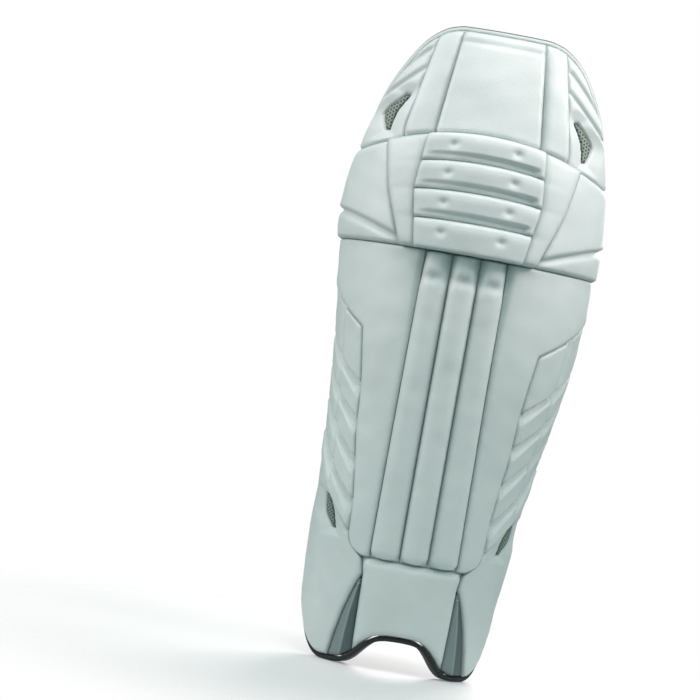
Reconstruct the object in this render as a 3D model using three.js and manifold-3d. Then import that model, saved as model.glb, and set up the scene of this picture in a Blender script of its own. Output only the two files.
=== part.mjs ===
// Batting pad: a padded leg guard for a cricket batter, standing on its two foot lobes.
// Millimetres. Z is up, the facing looks along -Y and +X is on the viewer's right.
import * as THREE from 'three';
import { mergeVertices } from 'three/addons/utils/BufferGeometryUtils.js';
import Module from 'manifold-3d';

// Driving sizes
const PAD_HEIGHT = 680;
const KNEE_SEAM = 567;
const KNEE_SEAM_DROP = 31;
const SKIRT = 442;
const INSTEP_SEAM = 115;
const CALF_FOOT = 178;
const BINDING = 4;
const SEAM_GAP = 0.6;
const BINDING_GAP = 0.97;
const LAYER_GAP = 0.88;
const LINING_EDGE = 5;
const FACING_REACH = 10;
const LINING_REACH = -6;
const STRAP_THICK = 2.4;
const STRAP_BOW = 36;
const STRAP_GRIP = 14;

// Slanted lines: the upper and lower ends of the shin wings rise from the crease by millimetres a degree,
// the tuck above the skirt rises by millimetres a millimetre outwards
const WING_TOP = { z: 352, slope: 1.1 };
const WING_FOOT = { z: 137, slope: 1.6 };
const TUCK = { x: 66, z: 448, slope: 0.4 };

// Sections of the middle surface between facing and lining, from the floor up
const SECTIONS = [
  { z: 0, left: 94, right: 84, front: -60, depth: 84 },
  { z: 70, left: 99, right: 86, front: -55, depth: 84 },
  { z: 130, left: 99, right: 92, front: -52, depth: 84 },
  { z: 210, left: 99, right: 99, front: -50, depth: 86 },
  { z: 290, left: 104, right: 114, front: -51, depth: 90 },
  { z: 350, left: 109, right: 123, front: -54, depth: 95 },
  { z: 410, left: 116, right: 127, front: -57, depth: 100 },
  { z: 470, left: 121, right: 127, front: -60, depth: 104 },
  { z: 530, left: 121, right: 127, front: -61, depth: 104 },
  { z: 610, left: 118, right: 126, front: -57, depth: 98 },
  { z: 680, left: 114, right: 123, front: -49, depth: 90 },
];

// Lower edge of the pad by turn from the centre line in degrees: an arch between two foot lobes
const BOTTOM_LINE = [
  { turn: 0, z: 33 },
  { turn: 8, z: 32.5 },
  { turn: 13, z: 30.5 },
  { turn: 18, z: 25 },
  { turn: 23, z: 16.5 },
  { turn: 28, z: 7 },
  { turn: 32, z: 2 },
  { turn: 35, z: 0 },
  { turn: 56, z: 0 },
  { turn: 62, z: 5 },
  { turn: 68, z: 14 },
  { turn: 74, z: 26 },
  { turn: 80, z: 45 },
  { turn: 86, z: 76 },
  { turn: 90, z: 104 },
];

// Upper edge of the pad by turn
const TOP_LINE = [
  { turn: 0, z: 680 },
  { turn: 20, z: 680 },
  { turn: 28, z: 677 },
  { turn: 35, z: 670 },
  { turn: 42, z: 659 },
  { turn: 50, z: 640 },
  { turn: 58, z: 619 },
  { turn: 65, z: 599 },
  { turn: 70, z: 581 },
  { turn: 76, z: 558 },
  { turn: 80, z: 540 },
];

// Turn of the rear edges of the wings
const EDGE_TURN = [
  { z: 76, turn: 86 },
  { z: 110, turn: 90 },
  { z: 490, turn: 90 },
  { z: 515, turn: 85 },
  { z: 538, turn: 76 },
];

// Seams as distances from the centre line, seen square on
const SEAMS = {
  rollInner: [{ z: 567, x: 54 }, { z: 680, x: 42 }],
  rollOuter: [{ z: 567, x: 85 }, { z: 680, x: 65 }],
  stripInner: [{ z: 442, x: 52 }, { z: 503, x: 61 }, { z: 567, x: 56 }],
  stripOuter: [{ z: 442, x: 68 }, { z: 499, x: 87 }, { z: 567, x: 101 }],
  caneInner: [{ z: 115, x: 15 }, { z: 442, x: 15 }],
  caneOuter: [{ z: 115, x: 46 }, { z: 442, x: 44 }],
  crease: [
    { z: 115, x: 54 },
    { z: 137, x: 70 },
    { z: 165, x: 71 },
    { z: 203, x: 75 },
    { z: 243, x: 80 },
    { z: 284, x: 83 },
    { z: 352, x: 92 },
  ],
  instepOuter: [{ z: 0, x: 48 }, { z: 97, x: 50.2 }, { z: 115, x: 54 }],
  ankleInner: [{ z: 0, x: 73 }, { z: 97, x: 51.2 }, { z: 115, x: 54 }, { z: 137, x: 70 }],
  cupOuter: [{ z: 442, x: 37 }, { z: 567, x: 48 }],
  channelOuter: [{ z: 178, x: 24 }, { z: 442, x: 24 }],
  stripeOuter: [{ z: 178, x: 12 }, { z: 442, x: 12 }],
  trimInner: [{ z: 178, x: 73 }, { z: 442, x: 80 }],
  trimOuter: [{ z: 178, x: 80 }, { z: 442, x: 87 }],
  heelInner: [{ z: 0, x: 38 }, { z: 178, x: 38 }],
};

// Straps across the rear: the band, and the pull tab from its tip to its root
const STRAPS = {
  knee: { low: 440, high: 482, tip: 118, root: 30, webFrom: -96, webTo: 112 },
  calf: { low: 296, high: 353, tip: 92, root: -44, webFrom: -68, webTo: 84 },
  ankle: { low: 115, high: 172, tip: 72, root: -62, webFrom: -80, webTo: 64 },
};

// Outline of a pull tab from tip to root: share of the strap's height that it hangs down
const TAB_SHAPE = [
  { at: 0, drop: 0.34 },
  { at: 0.06, drop: 0.56 },
  { at: 0.15, drop: 0.86 },
  { at: 0.2, drop: 0.93 },
  { at: 0.46, drop: 0.93 },
  { at: 0.54, drop: 0.82 },
  { at: 0.64, drop: 0.46 },
  { at: 0.72, drop: 0.36 },
  { at: 1, drop: 0.34 },
];

// Surfaces by material slot
const FINISHES = {
  white_leather: { color: 0xe6eae8, roughness: 0.5, metalness: 0 },
  grey_insert: { color: 0x8f9498, roughness: 0.45, metalness: 0.1 },
  vent_mesh: { color: 0x5b5e60, roughness: 0.8, metalness: 0 },
  edge_binding: { color: 0x1d1f21, roughness: 0.7, metalness: 0 },
  thigh_cloth: { color: 0xdfe2e4, roughness: 0.7, metalness: 0 },
  silver_mesh: { color: 0xa9adb0, roughness: 0.75, metalness: 0.1 },
  black_mesh: { color: 0x17181a, roughness: 0.85, metalness: 0 },
  slate_cloth: { color: 0x2c3138, roughness: 0.8, metalness: 0 },
  black_leather: { color: 0x141517, roughness: 0.4, metalness: 0 },
  strap_elastic: { color: 0x121314, roughness: 0.9, metalness: 0 },
  strap_webbing: { color: 0x4a4d50, roughness: 0.85, metalness: 0 },
  tab_leather: { color: 0xe4e6e6, roughness: 0.45, metalness: 0 },
  buckle_plastic: { color: 0x0e0f10, roughness: 0.3, metalness: 0 },
};

const RAD = Math.PI / 180;
const SETTLE_ROUNDS = 24;
const { clamp, lerp } = THREE.MathUtils;
const pad = new THREE.Group();
pad.name = 'batting_pad';

// Smooth value of a table's column, without overshoot between rows
function sample(table, along, column, at) {
  const last = table.length - 1;
  const found = table.findIndex((row) => row[along] >= at);
  const hi = found < 0 ? last : Math.max(found, 1);
  const lo = hi - 1;
  const rise = (i) => (table[i + 1][column] - table[i][column]) / (table[i + 1][along] - table[i][along]);
  const slope = (i) => {
    if (i === 0 || i === last) {
      return rise(i === 0 ? 0 : last - 1);
    }
    const before = rise(i - 1);
    const after = rise(i);
    return before * after <= 0 ? 0 : (2 * before * after) / (before + after);
  };
  const span = table[hi][along] - table[lo][along];
  const t = clamp((at - table[lo][along]) / span, 0, 1);
  const ease = t * t * (3 - 2 * t);
  const start = t * (1 - t) * (1 - t) * span * slope(lo);
  const end = t * t * (t - 1) * span * slope(hi);
  return lerp(table[lo][column], table[hi][column], ease) + start + end;
}

// Straight-line value of a seam at a height
function seamX(name, z) {
  const rows = SEAMS[name];
  const found = rows.findIndex((row) => row.z >= z);
  const hi = found < 0 ? rows.length - 1 : Math.max(found, 1);
  const a = rows[hi - 1];
  const b = rows[hi];
  return lerp(a.x, b.x, clamp((z - a.z) / (b.z - a.z), 0, 1));
}

function halfWidth(side, z) {
  return sample(SECTIONS, 'z', side < 0 ? 'left' : 'right', z);
}

// Point of the pad: turn in degrees from the centre line, height, offset outwards from the middle surface
function padPoint(turn, z, offset) {
  const angle = turn * RAD;
  const half = halfWidth(turn, z);
  const depth = sample(SECTIONS, 'z', 'depth', z);
  const front = sample(SECTIONS, 'z', 'front', z);
  const out = new THREE.Vector2(Math.sin(angle) * depth, -Math.cos(angle) * half).normalize();
  const x = half * Math.sin(angle) + offset * out.x;
  const y = front + depth * (1 - Math.cos(angle)) + offset * out.y;
  return new THREE.Vector3(x, y, z);
}

// Turn of a point seen square on at a distance from the centre line
function turnAt(x, z, side, reach) {
  const half = halfWidth(x * side, z) + reach;
  return Math.asin(clamp(x / half, -1, 1)) / RAD;
}

// Marks that end a row, as turns: a seam, the same seam mirrored, a distance, or a wing's rear edge
const seam = (name) => (z, side, reach) => turnAt(seamX(name, z), z, side, reach);
const mirrored = (name) => (z, side, reach) => turnAt(-seamX(name, z), z, side, reach);
const away = (x) => (z, side, reach) => turnAt(x, z, side, reach);
const EDGE = (z) => sample(EDGE_TURN, 'z', 'turn', z);
const LEFT_EDGE = (z) => -EDGE(z);

// The crease beside a shin panel runs down the shin and turns out to the rear edge above the ribs
const creaseTurn = (z, side) => seam('crease')(z, side, FACING_REACH);
const creaseFlare = (z, side) => {
  const flare = Math.max(z - WING_TOP.z, 0) / WING_TOP.slope;
  return Math.min(creaseTurn(Math.min(z, WING_TOP.z), side) + flare, EDGE(z));
};

// Lines that run across the pad, as heights by turn, distance seen square on and side
const level = (z) => () => z;
const tuck = (turn, at) => TUCK.z + (at - TUCK.x) * TUCK.slope;
const ribLine = ({ z, slope }) => (turn, at, side) => z + (turn - creaseTurn(z, side)) * slope;
const kneeSeam = (turn) => KNEE_SEAM - KNEE_SEAM_DROP * Math.sin(turn * RAD) ** 2;
const bottomEdge = (turn) => sample(BOTTOM_LINE, 'turn', 'z', Math.abs(turn));
const topEdge = (turn) => sample(TOP_LINE, 'turn', 'z', Math.abs(turn));
// Upright measure of a millimetre taken square to a sloping edge
const ARC_PER_DEGREE = 1.7;
const stretch = (line, turn) => Math.hypot(1, (line(turn + 0.5) - line(turn - 0.5)) / ARC_PER_DEGREE);
const bindingTop = (turn) => bottomEdge(turn) + BINDING * stretch(bottomEdge, turn);
const bindingFoot = (turn) => topEdge(turn) - BINDING * stretch(topEdge, turn);
const aboveBinding = (turn) => bindingTop(turn) + BINDING_GAP * stretch(bottomEdge, turn) - SEAM_GAP / 2;
const belowBinding = (turn) => bindingFoot(turn) - BINDING_GAP * stretch(topEdge, turn) + SEAM_GAP / 2;
const between = (low, high, share) => (...place) => lerp(low(...place), high(...place), share);

// Four-sided piece of the pad. Rows run from the lower line to the upper one at their share of the way,
// columns run from the inner seam to the outer one. Offsets give the two faces at a share across a row.
function patch({ low, high, inner, outer, rows, columns, reach, offsets, side = 1 }) {
  const geometry = new THREE.BoxGeometry(1, 1, 1, columns, rows.length - 1, 1);
  geometry.deleteAttribute('normal');
  geometry.deleteAttribute('uv');
  const last = rows.length - 1;
  const position = geometry.attributes.position;
  const heightOn = (row, turn, start) => {
    const line = row.line ?? between(low, high, row.share);
    let z = start;
    for (let round = 0; round < SETTLE_ROUNDS; round += 1) {
      z = line(turn, (halfWidth(side * turn, z) + reach) * Math.sin(turn * RAD), side);
    }
    return z;
  };
  const settle = (row, mark) => {
    let z = PAD_HEIGHT / 2;
    let turn = 0;
    for (let round = 0; round < SETTLE_ROUNDS; round += 1) {
      turn = mark(z, side, reach);
      z = heightOn(row, turn, z);
    }
    return turn;
  };
  const ends = rows.map((row) => [settle(row, row.inner ?? inner), settle(row, row.outer ?? outer)]);
  for (let i = 0; i < position.count; i += 1) {
    const s = position.getX(i) + 0.5;
    const across = side > 0 ? s : 1 - s;
    const k = Math.round((position.getY(i) + 0.5) * last);
    const row = rows[k];
    const inset = SEAM_GAP / 2 / (halfWidth(side, PAD_HEIGHT / 2) * RAD);
    const turn = lerp(ends[k][0] + inset, ends[k][1] - inset, across);
    const lift = k === 0 ? SEAM_GAP / 2 : k === last ? -SEAM_GAP / 2 : 0;
    const z = heightOn(row, turn, PAD_HEIGHT / 2) + lift;
    const [back, front] = offsets(across, row);
    const point = padPoint(side * turn, z, position.getZ(i) > 0 ? front : back);
    position.setXYZ(i, point.x, point.y, point.z);
  }
  return mergeVertices(geometry);
}

function addMesh(name, slot, geometry) {
  const material = new THREE.MeshStandardMaterial(FINISHES[slot]);
  material.name = slot;
  geometry.computeVertexNormals();
  const mesh = new THREE.Mesh(geometry, material);
  mesh.name = name;
  pad.add(mesh);
}

// Share of the full swell at a share across, level in the middle
const swell = (share, power) => 1 - Math.abs(2 * share - 1) ** power;

// Thickness at the seams of each piece, and how level its middle is
const SWELL = {
  topPanel: { edge: 12, power: 6 },
  topRoll: { edge: 11, power: 2 },
  topWing: { edge: 9, power: 6 },
  kneeRoll: { edge: 24, power: 6 },
  kneeStrip: { edge: 18, power: 2 },
  kneeWing: { edge: 11, power: 4 },
  cane: { edge: 10, power: 2 },
  shinPanel: { edge: 10, power: 4 },
  shinWing: { edge: 9, power: 6 },
  ankleWing: { edge: 9, power: 6 },
  insert: { edge: 9, power: 4 },
  instep: { edge: 10, power: 6 },
  thigh: { edge: 6, power: 6 },
  kneeCup: { edge: 7, power: 4 },
  calfBolster: { edge: 7, power: 2 },
  sideTrim: { edge: 6, power: 2 },
  even: { edge: LINING_EDGE, power: 2 },
};

// Facing piece: thickness swells from its seams to each row's own thickness
function facing(shape, { edge, power }, dent = () => 0) {
  const offsets = (across, row) => {
    const thick = edge + (row.thick - edge) * swell(across, power) - dent(across, row);
    return [LAYER_GAP / 2, thick];
  };
  return patch({ reach: FACING_REACH, offsets, ...shape });
}

// Lining piece: thickness grows towards the leg
function lining(shape, { edge, power }) {
  const offsets = (across, row) => [-edge - (row.thick - edge) * swell(across, power), -LAYER_GAP / 2];
  return patch({ reach: LINING_REACH, offsets, ...shape });
}

// Plate of even thickness between two offsets
function plate(shape, from, to) {
  return patch({ offsets: () => [from, to], ...shape });
}

const sides = [
  { side: -1, word: 'left' },
  { side: 1, word: 'right' },
];

// Booleans on closed meshes
const wasm = await Module();
wasm.setup();

function toSolid(geometry) {
  const mesh = new wasm.Mesh({
    numProp: 3,
    vertProperties: Float32Array.from(geometry.attributes.position.array),
    triVerts: Uint32Array.from(geometry.index.array),
  });
  return new wasm.Manifold(mesh);
}

function fromSolid(solid) {
  const { vertProperties, triVerts } = solid.getMesh();
  const geometry = new THREE.BufferGeometry();
  geometry.setAttribute('position', new THREE.BufferAttribute(vertProperties, 3));
  geometry.setIndex(new THREE.BufferAttribute(triVerts, 1));
  return geometry;
}

const carve = (body, pocket) => fromSolid(toSolid(body).subtract(toSolid(pocket)));

// Piece astride the centre line between a seam and its mirror image
const astride = (name) => ({ inner: mirrored(name), outer: seam(name) });
const bounded = (from, to) => ({ inner: seam(from), outer: seam(to) });
const toEdge = (from) => ({ inner: seam(from), outer: EDGE });

// Top flap
const topSpan = { low: kneeSeam, high: belowBinding };
const TOP_PANEL = [
  { share: 0, thick: 13 },
  { share: 0.12, thick: 19 },
  { share: 0.45, thick: 20 },
  { share: 0.8, thick: 17 },
  { share: 0.88, thick: 11 },
  { share: 0.93, thick: 14 },
  { share: 1, thick: 9 },
];
addMesh('top_panel', 'white_leather', facing({
  ...topSpan,
  ...astride('rollInner'),
  rows: TOP_PANEL,
  columns: 8,
}, SWELL.topPanel));

const TOP_ROLL = [
  { share: 0, thick: 12 },
  { share: 0.12, thick: 22 },
  { share: 0.5, thick: 22 },
  { share: 0.88, thick: 17 },
  { share: 1, thick: 9 },
];
const TOP_WING = [
  { share: 0, thick: 11 },
  { share: 0.14, thick: 16 },
  { share: 0.6, thick: 16 },
  { share: 0.65, thick: 11 },
  { share: 0.7, thick: 15 },
  { share: 0.79, thick: 15 },
  { share: 0.84, thick: 10 },
  { share: 0.88, thick: 13 },
  { share: 1, thick: 9 },
];
const TOP_VENT = [
  { line: level(562), inner: away(103), outer: away(107) },
  { line: level(578), inner: away(100), outer: away(111) },
  { line: level(600), inner: away(88), outer: away(93) },
];
const TOP_POCKET = [
  { line: level(560.5), inner: away(102), outer: away(108) },
  { line: level(578), inner: away(99), outer: away(112) },
  { line: level(601.5), inner: away(86.5), outer: away(94.5) },
];
const VENT_FLOOR = 6.5;
const VENT_FACE = 10;
const POCKET_TOP = 40;
for (const { side, word } of sides) {
  addMesh(`top_roll_${word}`, 'white_leather', facing({
    ...topSpan,
    ...bounded('rollInner', 'rollOuter'),
    rows: TOP_ROLL,
    columns: 4,
    side,
  }, SWELL.topRoll));
  const wing = facing({ ...topSpan, ...toEdge('rollOuter'), rows: TOP_WING, columns: 6, side }, SWELL.topWing);
  const vent = { reach: FACING_REACH, columns: 3, side };
  const pocket = plate({ ...vent, rows: TOP_POCKET }, VENT_FLOOR, POCKET_TOP);
  addMesh(`top_wing_${word}`, 'white_leather', carve(wing, pocket));
  const grille = plate({ ...vent, rows: TOP_VENT }, VENT_FLOOR + SEAM_GAP, VENT_FACE);
  addMesh(`top_vent_${word}`, 'vent_mesh', grille);
}

// Knee rolls with two tufts in each
const TUFT_DEPTH = 4;
const TUFT_SHARES = [0.25, 0.75];
const tufts = (across, row) => (row.tufted && TUFT_SHARES.includes(across) ? TUFT_DEPTH : 0);
const KNEE_ROLLS = [
  { from: 0.76, to: 1 },
  { from: 0.51, to: 0.76 },
  { from: 0.26, to: 0.51 },
  { from: 0, to: 0.26 },
];
const ROLL_BODY = [
  { share: 0, thick: 22 },
  { share: 0.2, thick: 33 },
  { share: 0.5, thick: 36, tufted: true },
  { share: 0.8, thick: 33 },
  { share: 1, thick: 21 },
];
KNEE_ROLLS.forEach(({ from, to }, index) => {
  const skirt = level(SKIRT);
  addMesh(`knee_roll_${index + 1}`, 'white_leather', facing({
    low: between(skirt, kneeSeam, from),
    high: between(skirt, kneeSeam, to),
    ...astride('stripInner'),
    rows: ROLL_BODY,
    columns: 8,
  }, SWELL.kneeRoll, tufts));
});

// Knee strips and wings
const kneeSpan = { low: level(SKIRT), high: kneeSeam };
const KNEE_STRIP = [
  { share: 0, thick: 22 },
  { share: 0.08, thick: 27 },
  { share: 0.26, thick: 27 },
  { share: 0.51, thick: 27 },
  { share: 0.76, thick: 25 },
  { share: 1, thick: 15 },
];
const KNEE_WING = [
  { share: 0, thick: 17 },
  { line: between(level(SKIRT), tuck, 0.5), thick: 20 },
  { line: tuck, thick: 14 },
  { line: between(tuck, kneeSeam, 0.1), thick: 20 },
  { line: between(tuck, kneeSeam, 0.42), thick: 19 },
  { line: between(tuck, kneeSeam, 0.75), thick: 18 },
  { share: 1, thick: 12 },
];
for (const { side, word } of sides) {
  addMesh(`knee_strip_${word}`, 'white_leather', facing({
    ...kneeSpan,
    ...bounded('stripInner', 'stripOuter'),
    rows: KNEE_STRIP,
    columns: 4,
    side,
  }, SWELL.kneeStrip));
  addMesh(`knee_wing_${word}`, 'white_leather', facing({
    ...kneeSpan,
    ...toEdge('stripOuter'),
    rows: KNEE_WING,
    columns: 6,
    side,
  }, SWELL.kneeWing));
}

// Canes over the shin
const CANE = [
  { share: 0, thick: 11 },
  { share: 0.03, thick: 19 },
  { share: 0.1, thick: 23 },
  { share: 0.5, thick: 23 },
  { share: 0.85, thick: 23 },
  { share: 0.95, thick: 20 },
  { share: 1, thick: 17 },
];
const shinSpan = { low: level(INSTEP_SEAM), high: level(SKIRT - LAYER_GAP) };
const caneShape = { ...shinSpan, rows: CANE, columns: 6 };
const outerCane = { ...caneShape, ...bounded('caneInner', 'caneOuter') };
const middleCane = { ...caneShape, ...astride('caneInner') };
addMesh('cane_1', 'white_leather', facing({ ...outerCane, side: -1 }, SWELL.cane));
addMesh('cane_2', 'white_leather', facing(middleCane, SWELL.cane));
addMesh('cane_3', 'white_leather', facing(outerCane, SWELL.cane));

// Shin panels flare to the rear edge between the ribs and the knee section
const SHIN_PANEL = [
  { line: level(INSTEP_SEAM), thick: 10 },
  { line: level(125), thick: 13 },
  { line: level(137), thick: 15 },
  { line: level(165), thick: 16 },
  { line: level(203), thick: 16 },
  { line: level(243), thick: 16 },
  { line: level(284), thick: 16 },
  { line: level(318), thick: 16 },
  { line: level(352), thick: 16 },
  { line: level(360), thick: 16 },
  { line: level(368), thick: 16 },
  { line: level(376), thick: 16 },
  { line: level(384), thick: 16 },
  { line: level(389), thick: 16 },
  { line: level(393), thick: 16 },
  { line: level(399), thick: 16 },
  { line: level(416), thick: 15 },
  { line: level(SKIRT - LAYER_GAP), thick: 13 },
];

// Ribs of the shin wings as shares of the way up the inner crease
const RIBS = [
  { from: 0, to: 0.13 },
  { from: 0.13, to: 0.307 },
  { from: 0.307, to: 0.493 },
  { from: 0.493, to: 0.684 },
  { from: 0.684, to: 1 },
];
const RIB_FLANK = 0.018;
const RIB_THICK = 16;
const GROOVE_THICK = 10;
const shinWing = RIBS.flatMap(({ from, to }) => [
  { share: from, thick: GROOVE_THICK },
  { share: from + RIB_FLANK, thick: RIB_THICK - 2 },
  { share: to - RIB_FLANK, thick: RIB_THICK },
]);
shinWing.push({ share: 1, thick: GROOVE_THICK });

// Foot end: wings with vents, wedges and the instep
const ANKLE_WING = [
  { share: 0, thick: 9 },
  { share: 0.1, thick: 13 },
  { share: 0.35, thick: 14 },
  { share: 0.6, thick: 14 },
  { share: 0.81, thick: 14 },
  { share: 0.952, thick: 12 },
  { share: 1, thick: 9 },
];
const ANKLE_VENT = [
  { line: level(138), inner: away(87), outer: away(90) },
  { line: level(154), inner: away(91), outer: away(99) },
  { line: level(170), inner: away(98), outer: away(101) },
];
const ANKLE_POCKET = [
  { line: level(136.5), inner: away(86), outer: away(91) },
  { line: level(154), inner: away(90), outer: away(100) },
  { line: level(171.5), inner: away(97), outer: away(102) },
];
const INSERT = [
  { share: 0, thick: 9 },
  { share: 0.115, thick: 11 },
  { share: 0.44, thick: 11 },
  { share: 0.75, thick: 11 },
  { share: 1, thick: 10 },
];
const INSERT_TOP = 92;
for (const { side, word } of sides) {
  addMesh(`shin_panel_${word}`, 'white_leather', facing({
    inner: seam('caneOuter'),
    outer: creaseFlare,
    rows: SHIN_PANEL,
    columns: 7,
    side,
  }, SWELL.shinPanel));
  addMesh(`shin_wing_${word}`, 'white_leather', facing({
    low: ribLine(WING_FOOT),
    high: ribLine(WING_TOP),
    ...toEdge('crease'),
    rows: shinWing,
    columns: 6,
    side,
  }, SWELL.shinWing));
  const wing = facing({
    low: aboveBinding,
    high: ribLine(WING_FOOT),
    ...toEdge('ankleInner'),
    rows: ANKLE_WING,
    columns: 9,
    side,
  }, SWELL.ankleWing);
  const vent = { reach: FACING_REACH, columns: 3, side };
  const pocket = plate({ ...vent, rows: ANKLE_POCKET }, VENT_FLOOR, POCKET_TOP);
  addMesh(`ankle_wing_${word}`, 'white_leather', carve(wing, pocket));
  const grille = plate({ ...vent, rows: ANKLE_VENT }, VENT_FLOOR + SEAM_GAP, VENT_FACE);
  addMesh(`ankle_vent_${word}`, 'vent_mesh', grille);
  addMesh(`ankle_insert_${word}`, 'grey_insert', facing({
    low: aboveBinding,
    high: level(INSERT_TOP),
    ...bounded('instepOuter', 'ankleInner'),
    rows: INSERT,
    columns: 3,
    side,
  }, SWELL.insert));
}

const INSTEP = [
  { share: 0, thick: 9 },
  { share: 0.1, thick: 14 },
  { share: 0.4, thick: 16 },
  { share: 0.837, thick: 16 },
  { share: 0.93, thick: 15 },
  { share: 1, thick: 10 },
];
addMesh('instep_panel', 'white_leather', facing({
  low: aboveBinding,
  high: level(INSTEP_SEAM),
  ...astride('instepOuter'),
  rows: INSTEP,
  columns: 10,
}, SWELL.instep));

// Bound edges
const around = { reach: FACING_REACH, inner: LEFT_EDGE, outer: EDGE };
const BINDING_BACK = -7;
const BINDING_FRONT = 10;
addMesh('bottom_binding', 'edge_binding', plate({
  ...around,
  rows: [
    { line: (turn) => bottomEdge(turn) - SEAM_GAP / 2 },
    { line: bindingTop },
  ],
  columns: 48,
}, BINDING_BACK, BINDING_FRONT));
addMesh('top_binding', 'edge_binding', plate({
  ...around,
  rows: [
    { line: bindingFoot },
    { line: topEdge },
  ],
  columns: 36,
}, BINDING_BACK, BINDING_FRONT));

// Linings behind the facing
const THIGH = [
  { share: 0, thick: 6 },
  { share: 0.15, thick: 9 },
  { share: 0.6, thick: 9 },
  { share: 1, thick: 6 },
];
addMesh('thigh_lining', 'thigh_cloth', lining({
  ...topSpan,
  inner: LEFT_EDGE,
  outer: EDGE,
  rows: THIGH,
  columns: 20,
}, SWELL.thigh));

const CUP = [
  { share: 0, thick: 7 },
  { share: 0.2, thick: 10 },
  { share: 0.8, thick: 10 },
  { share: 1, thick: 7 },
];
const kneeCup = { ...kneeSpan, ...astride('cupOuter'), rows: CUP, columns: 8 };
addMesh('knee_cup', 'silver_mesh', lining(kneeCup, SWELL.kneeCup));

// Bolsters beside the knee, tapered towards the rear edge of the wings
const BOLSTER_PEAK = 0.36;
const BOLSTER_SPREAD = 0.36;
const KNEE_BOLSTER = [
  { share: 0, thick: 7 },
  { share: 0.12, thick: 16 },
  { share: 0.5, thick: 17 },
  { share: 0.88, thick: 14 },
  { share: 1, thick: 7 },
];
const tapered = (across, row) => {
  const swellShare = Math.max(0, 1 - ((across - BOLSTER_PEAK) / BOLSTER_SPREAD) ** 2);
  return [-LINING_EDGE - (row.thick - LINING_EDGE) * swellShare, -LAYER_GAP / 2];
};

// Calf section: channel with a stripe, bolsters, trim strips and mesh
const calfSpan = { low: level(CALF_FOOT), high: level(SKIRT - LAYER_GAP) };
const CALF_BOLSTER = [
  { share: 0, thick: 7 },
  { share: 0.06, thick: 16 },
  { share: 0.25, thick: 18 },
  { share: 0.5, thick: 18 },
  { share: 0.75, thick: 18 },
  { share: 0.94, thick: 16 },
  { share: 1, thick: 7 },
];
const EVEN_CALF = [0, 0.17, 0.33, 0.5, 0.67, 0.83, 1].map((share) => ({ share, thick: LINING_EDGE }));
const STRIPE_THICK = 1.4;
addMesh('centre_channel', 'slate_cloth', lining({
  ...calfSpan,
  ...astride('channelOuter'),
  rows: EVEN_CALF,
  columns: 4,
}, SWELL.even));
const stripeFace = -LINING_EDGE - SEAM_GAP;
addMesh('centre_stripe', 'tab_leather', plate({
  ...calfSpan,
  ...astride('stripeOuter'),
  reach: LINING_REACH,
  rows: EVEN_CALF,
  columns: 4,
}, stripeFace - STRIPE_THICK, stripeFace));

// Foot end of the lining
const heelSpan = { low: aboveBinding, high: level(CALF_FOOT - LAYER_GAP) };
const EVEN_HEEL = [0, 0.2, 0.45, 0.7, 1].map((share) => ({ share, thick: LINING_EDGE }));
addMesh('ankle_lining_centre', 'black_leather', lining({
  ...heelSpan,
  ...astride('heelInner'),
  rows: EVEN_HEEL,
  columns: 12,
}, SWELL.even));
const CRESCENT = [
  { line: level(64), inner: away(60), outer: away(63) },
  { line: level(82), inner: away(52), outer: away(62) },
  { line: level(98), inner: away(46), outer: away(57) },
  { line: level(112), inner: away(42), outer: away(46) },
];
const CRESCENT_THICK = 1.2;
for (const { side, word } of sides) {
  addMesh(`knee_bolster_${word}`, 'black_mesh', patch({
    ...kneeSpan,
    ...toEdge('cupOuter'),
    reach: LINING_REACH,
    rows: KNEE_BOLSTER,
    columns: 8,
    offsets: tapered,
    side,
  }));
  addMesh(`calf_bolster_${word}`, 'black_mesh', lining({
    ...calfSpan,
    ...bounded('channelOuter', 'trimInner'),
    rows: CALF_BOLSTER,
    columns: 5,
    side,
  }, SWELL.calfBolster));
  addMesh(`side_trim_${word}`, 'silver_mesh', lining({
    ...calfSpan,
    ...bounded('trimInner', 'trimOuter'),
    rows: EVEN_CALF,
    columns: 1,
    side,
  }, SWELL.sideTrim));
  addMesh(`side_mesh_${word}`, 'silver_mesh', lining({
    ...calfSpan,
    ...toEdge('trimOuter'),
    rows: EVEN_CALF,
    columns: 5,
    side,
  }, SWELL.even));
  addMesh(`ankle_lining_${word}`, 'black_leather', lining({
    ...heelSpan,
    ...toEdge('heelInner'),
    rows: EVEN_HEEL,
    columns: 10,
    side,
  }, SWELL.even));
  addMesh(`ankle_trim_${word}`, 'silver_mesh', plate({
    reach: LINING_REACH,
    rows: CRESCENT,
    columns: 3,
    side,
  }, stripeFace - CRESCENT_THICK, stripeFace));
}

// Straps: along the lining of each wing, then bowed across the rear from one rear edge to the other
const STRAP_SIDE_SHARE = 0.06;
const strapSeat = -LINING_EDGE - SEAM_GAP - STRAP_THICK;
function strapPlan(share, z) {
  const side = share < 0.5 ? -1 : 1;
  const near = side < 0 ? share : 1 - share;
  if (near < STRAP_SIDE_SHARE) {
    const turn = 90 - STRAP_GRIP * (1 - near / STRAP_SIDE_SHARE);
    const point = padPoint(side * turn, z, strapSeat);
    return new THREE.Vector2(point.x, point.y);
  }
  const swing = (near - STRAP_SIDE_SHARE) / (0.5 - STRAP_SIDE_SHARE);
  const edge = padPoint(side * 90, z, strapSeat);
  const angle = swing * Math.PI / 2;
  return new THREE.Vector2(edge.x * Math.cos(angle), edge.y + STRAP_BOW * Math.sin(angle));
}

// Share along a strap at a distance across the rear
function strapShare(x, z) {
  const edge = padPoint(x < 0 ? -90 : 90, z, strapSeat);
  const swing = Math.acos(clamp(Math.abs(x / edge.x), 0, 1)) / (Math.PI / 2);
  const near = STRAP_SIDE_SHARE + swing * (0.5 - STRAP_SIDE_SHARE);
  return x < 0 ? near : 1 - near;
}

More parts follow.
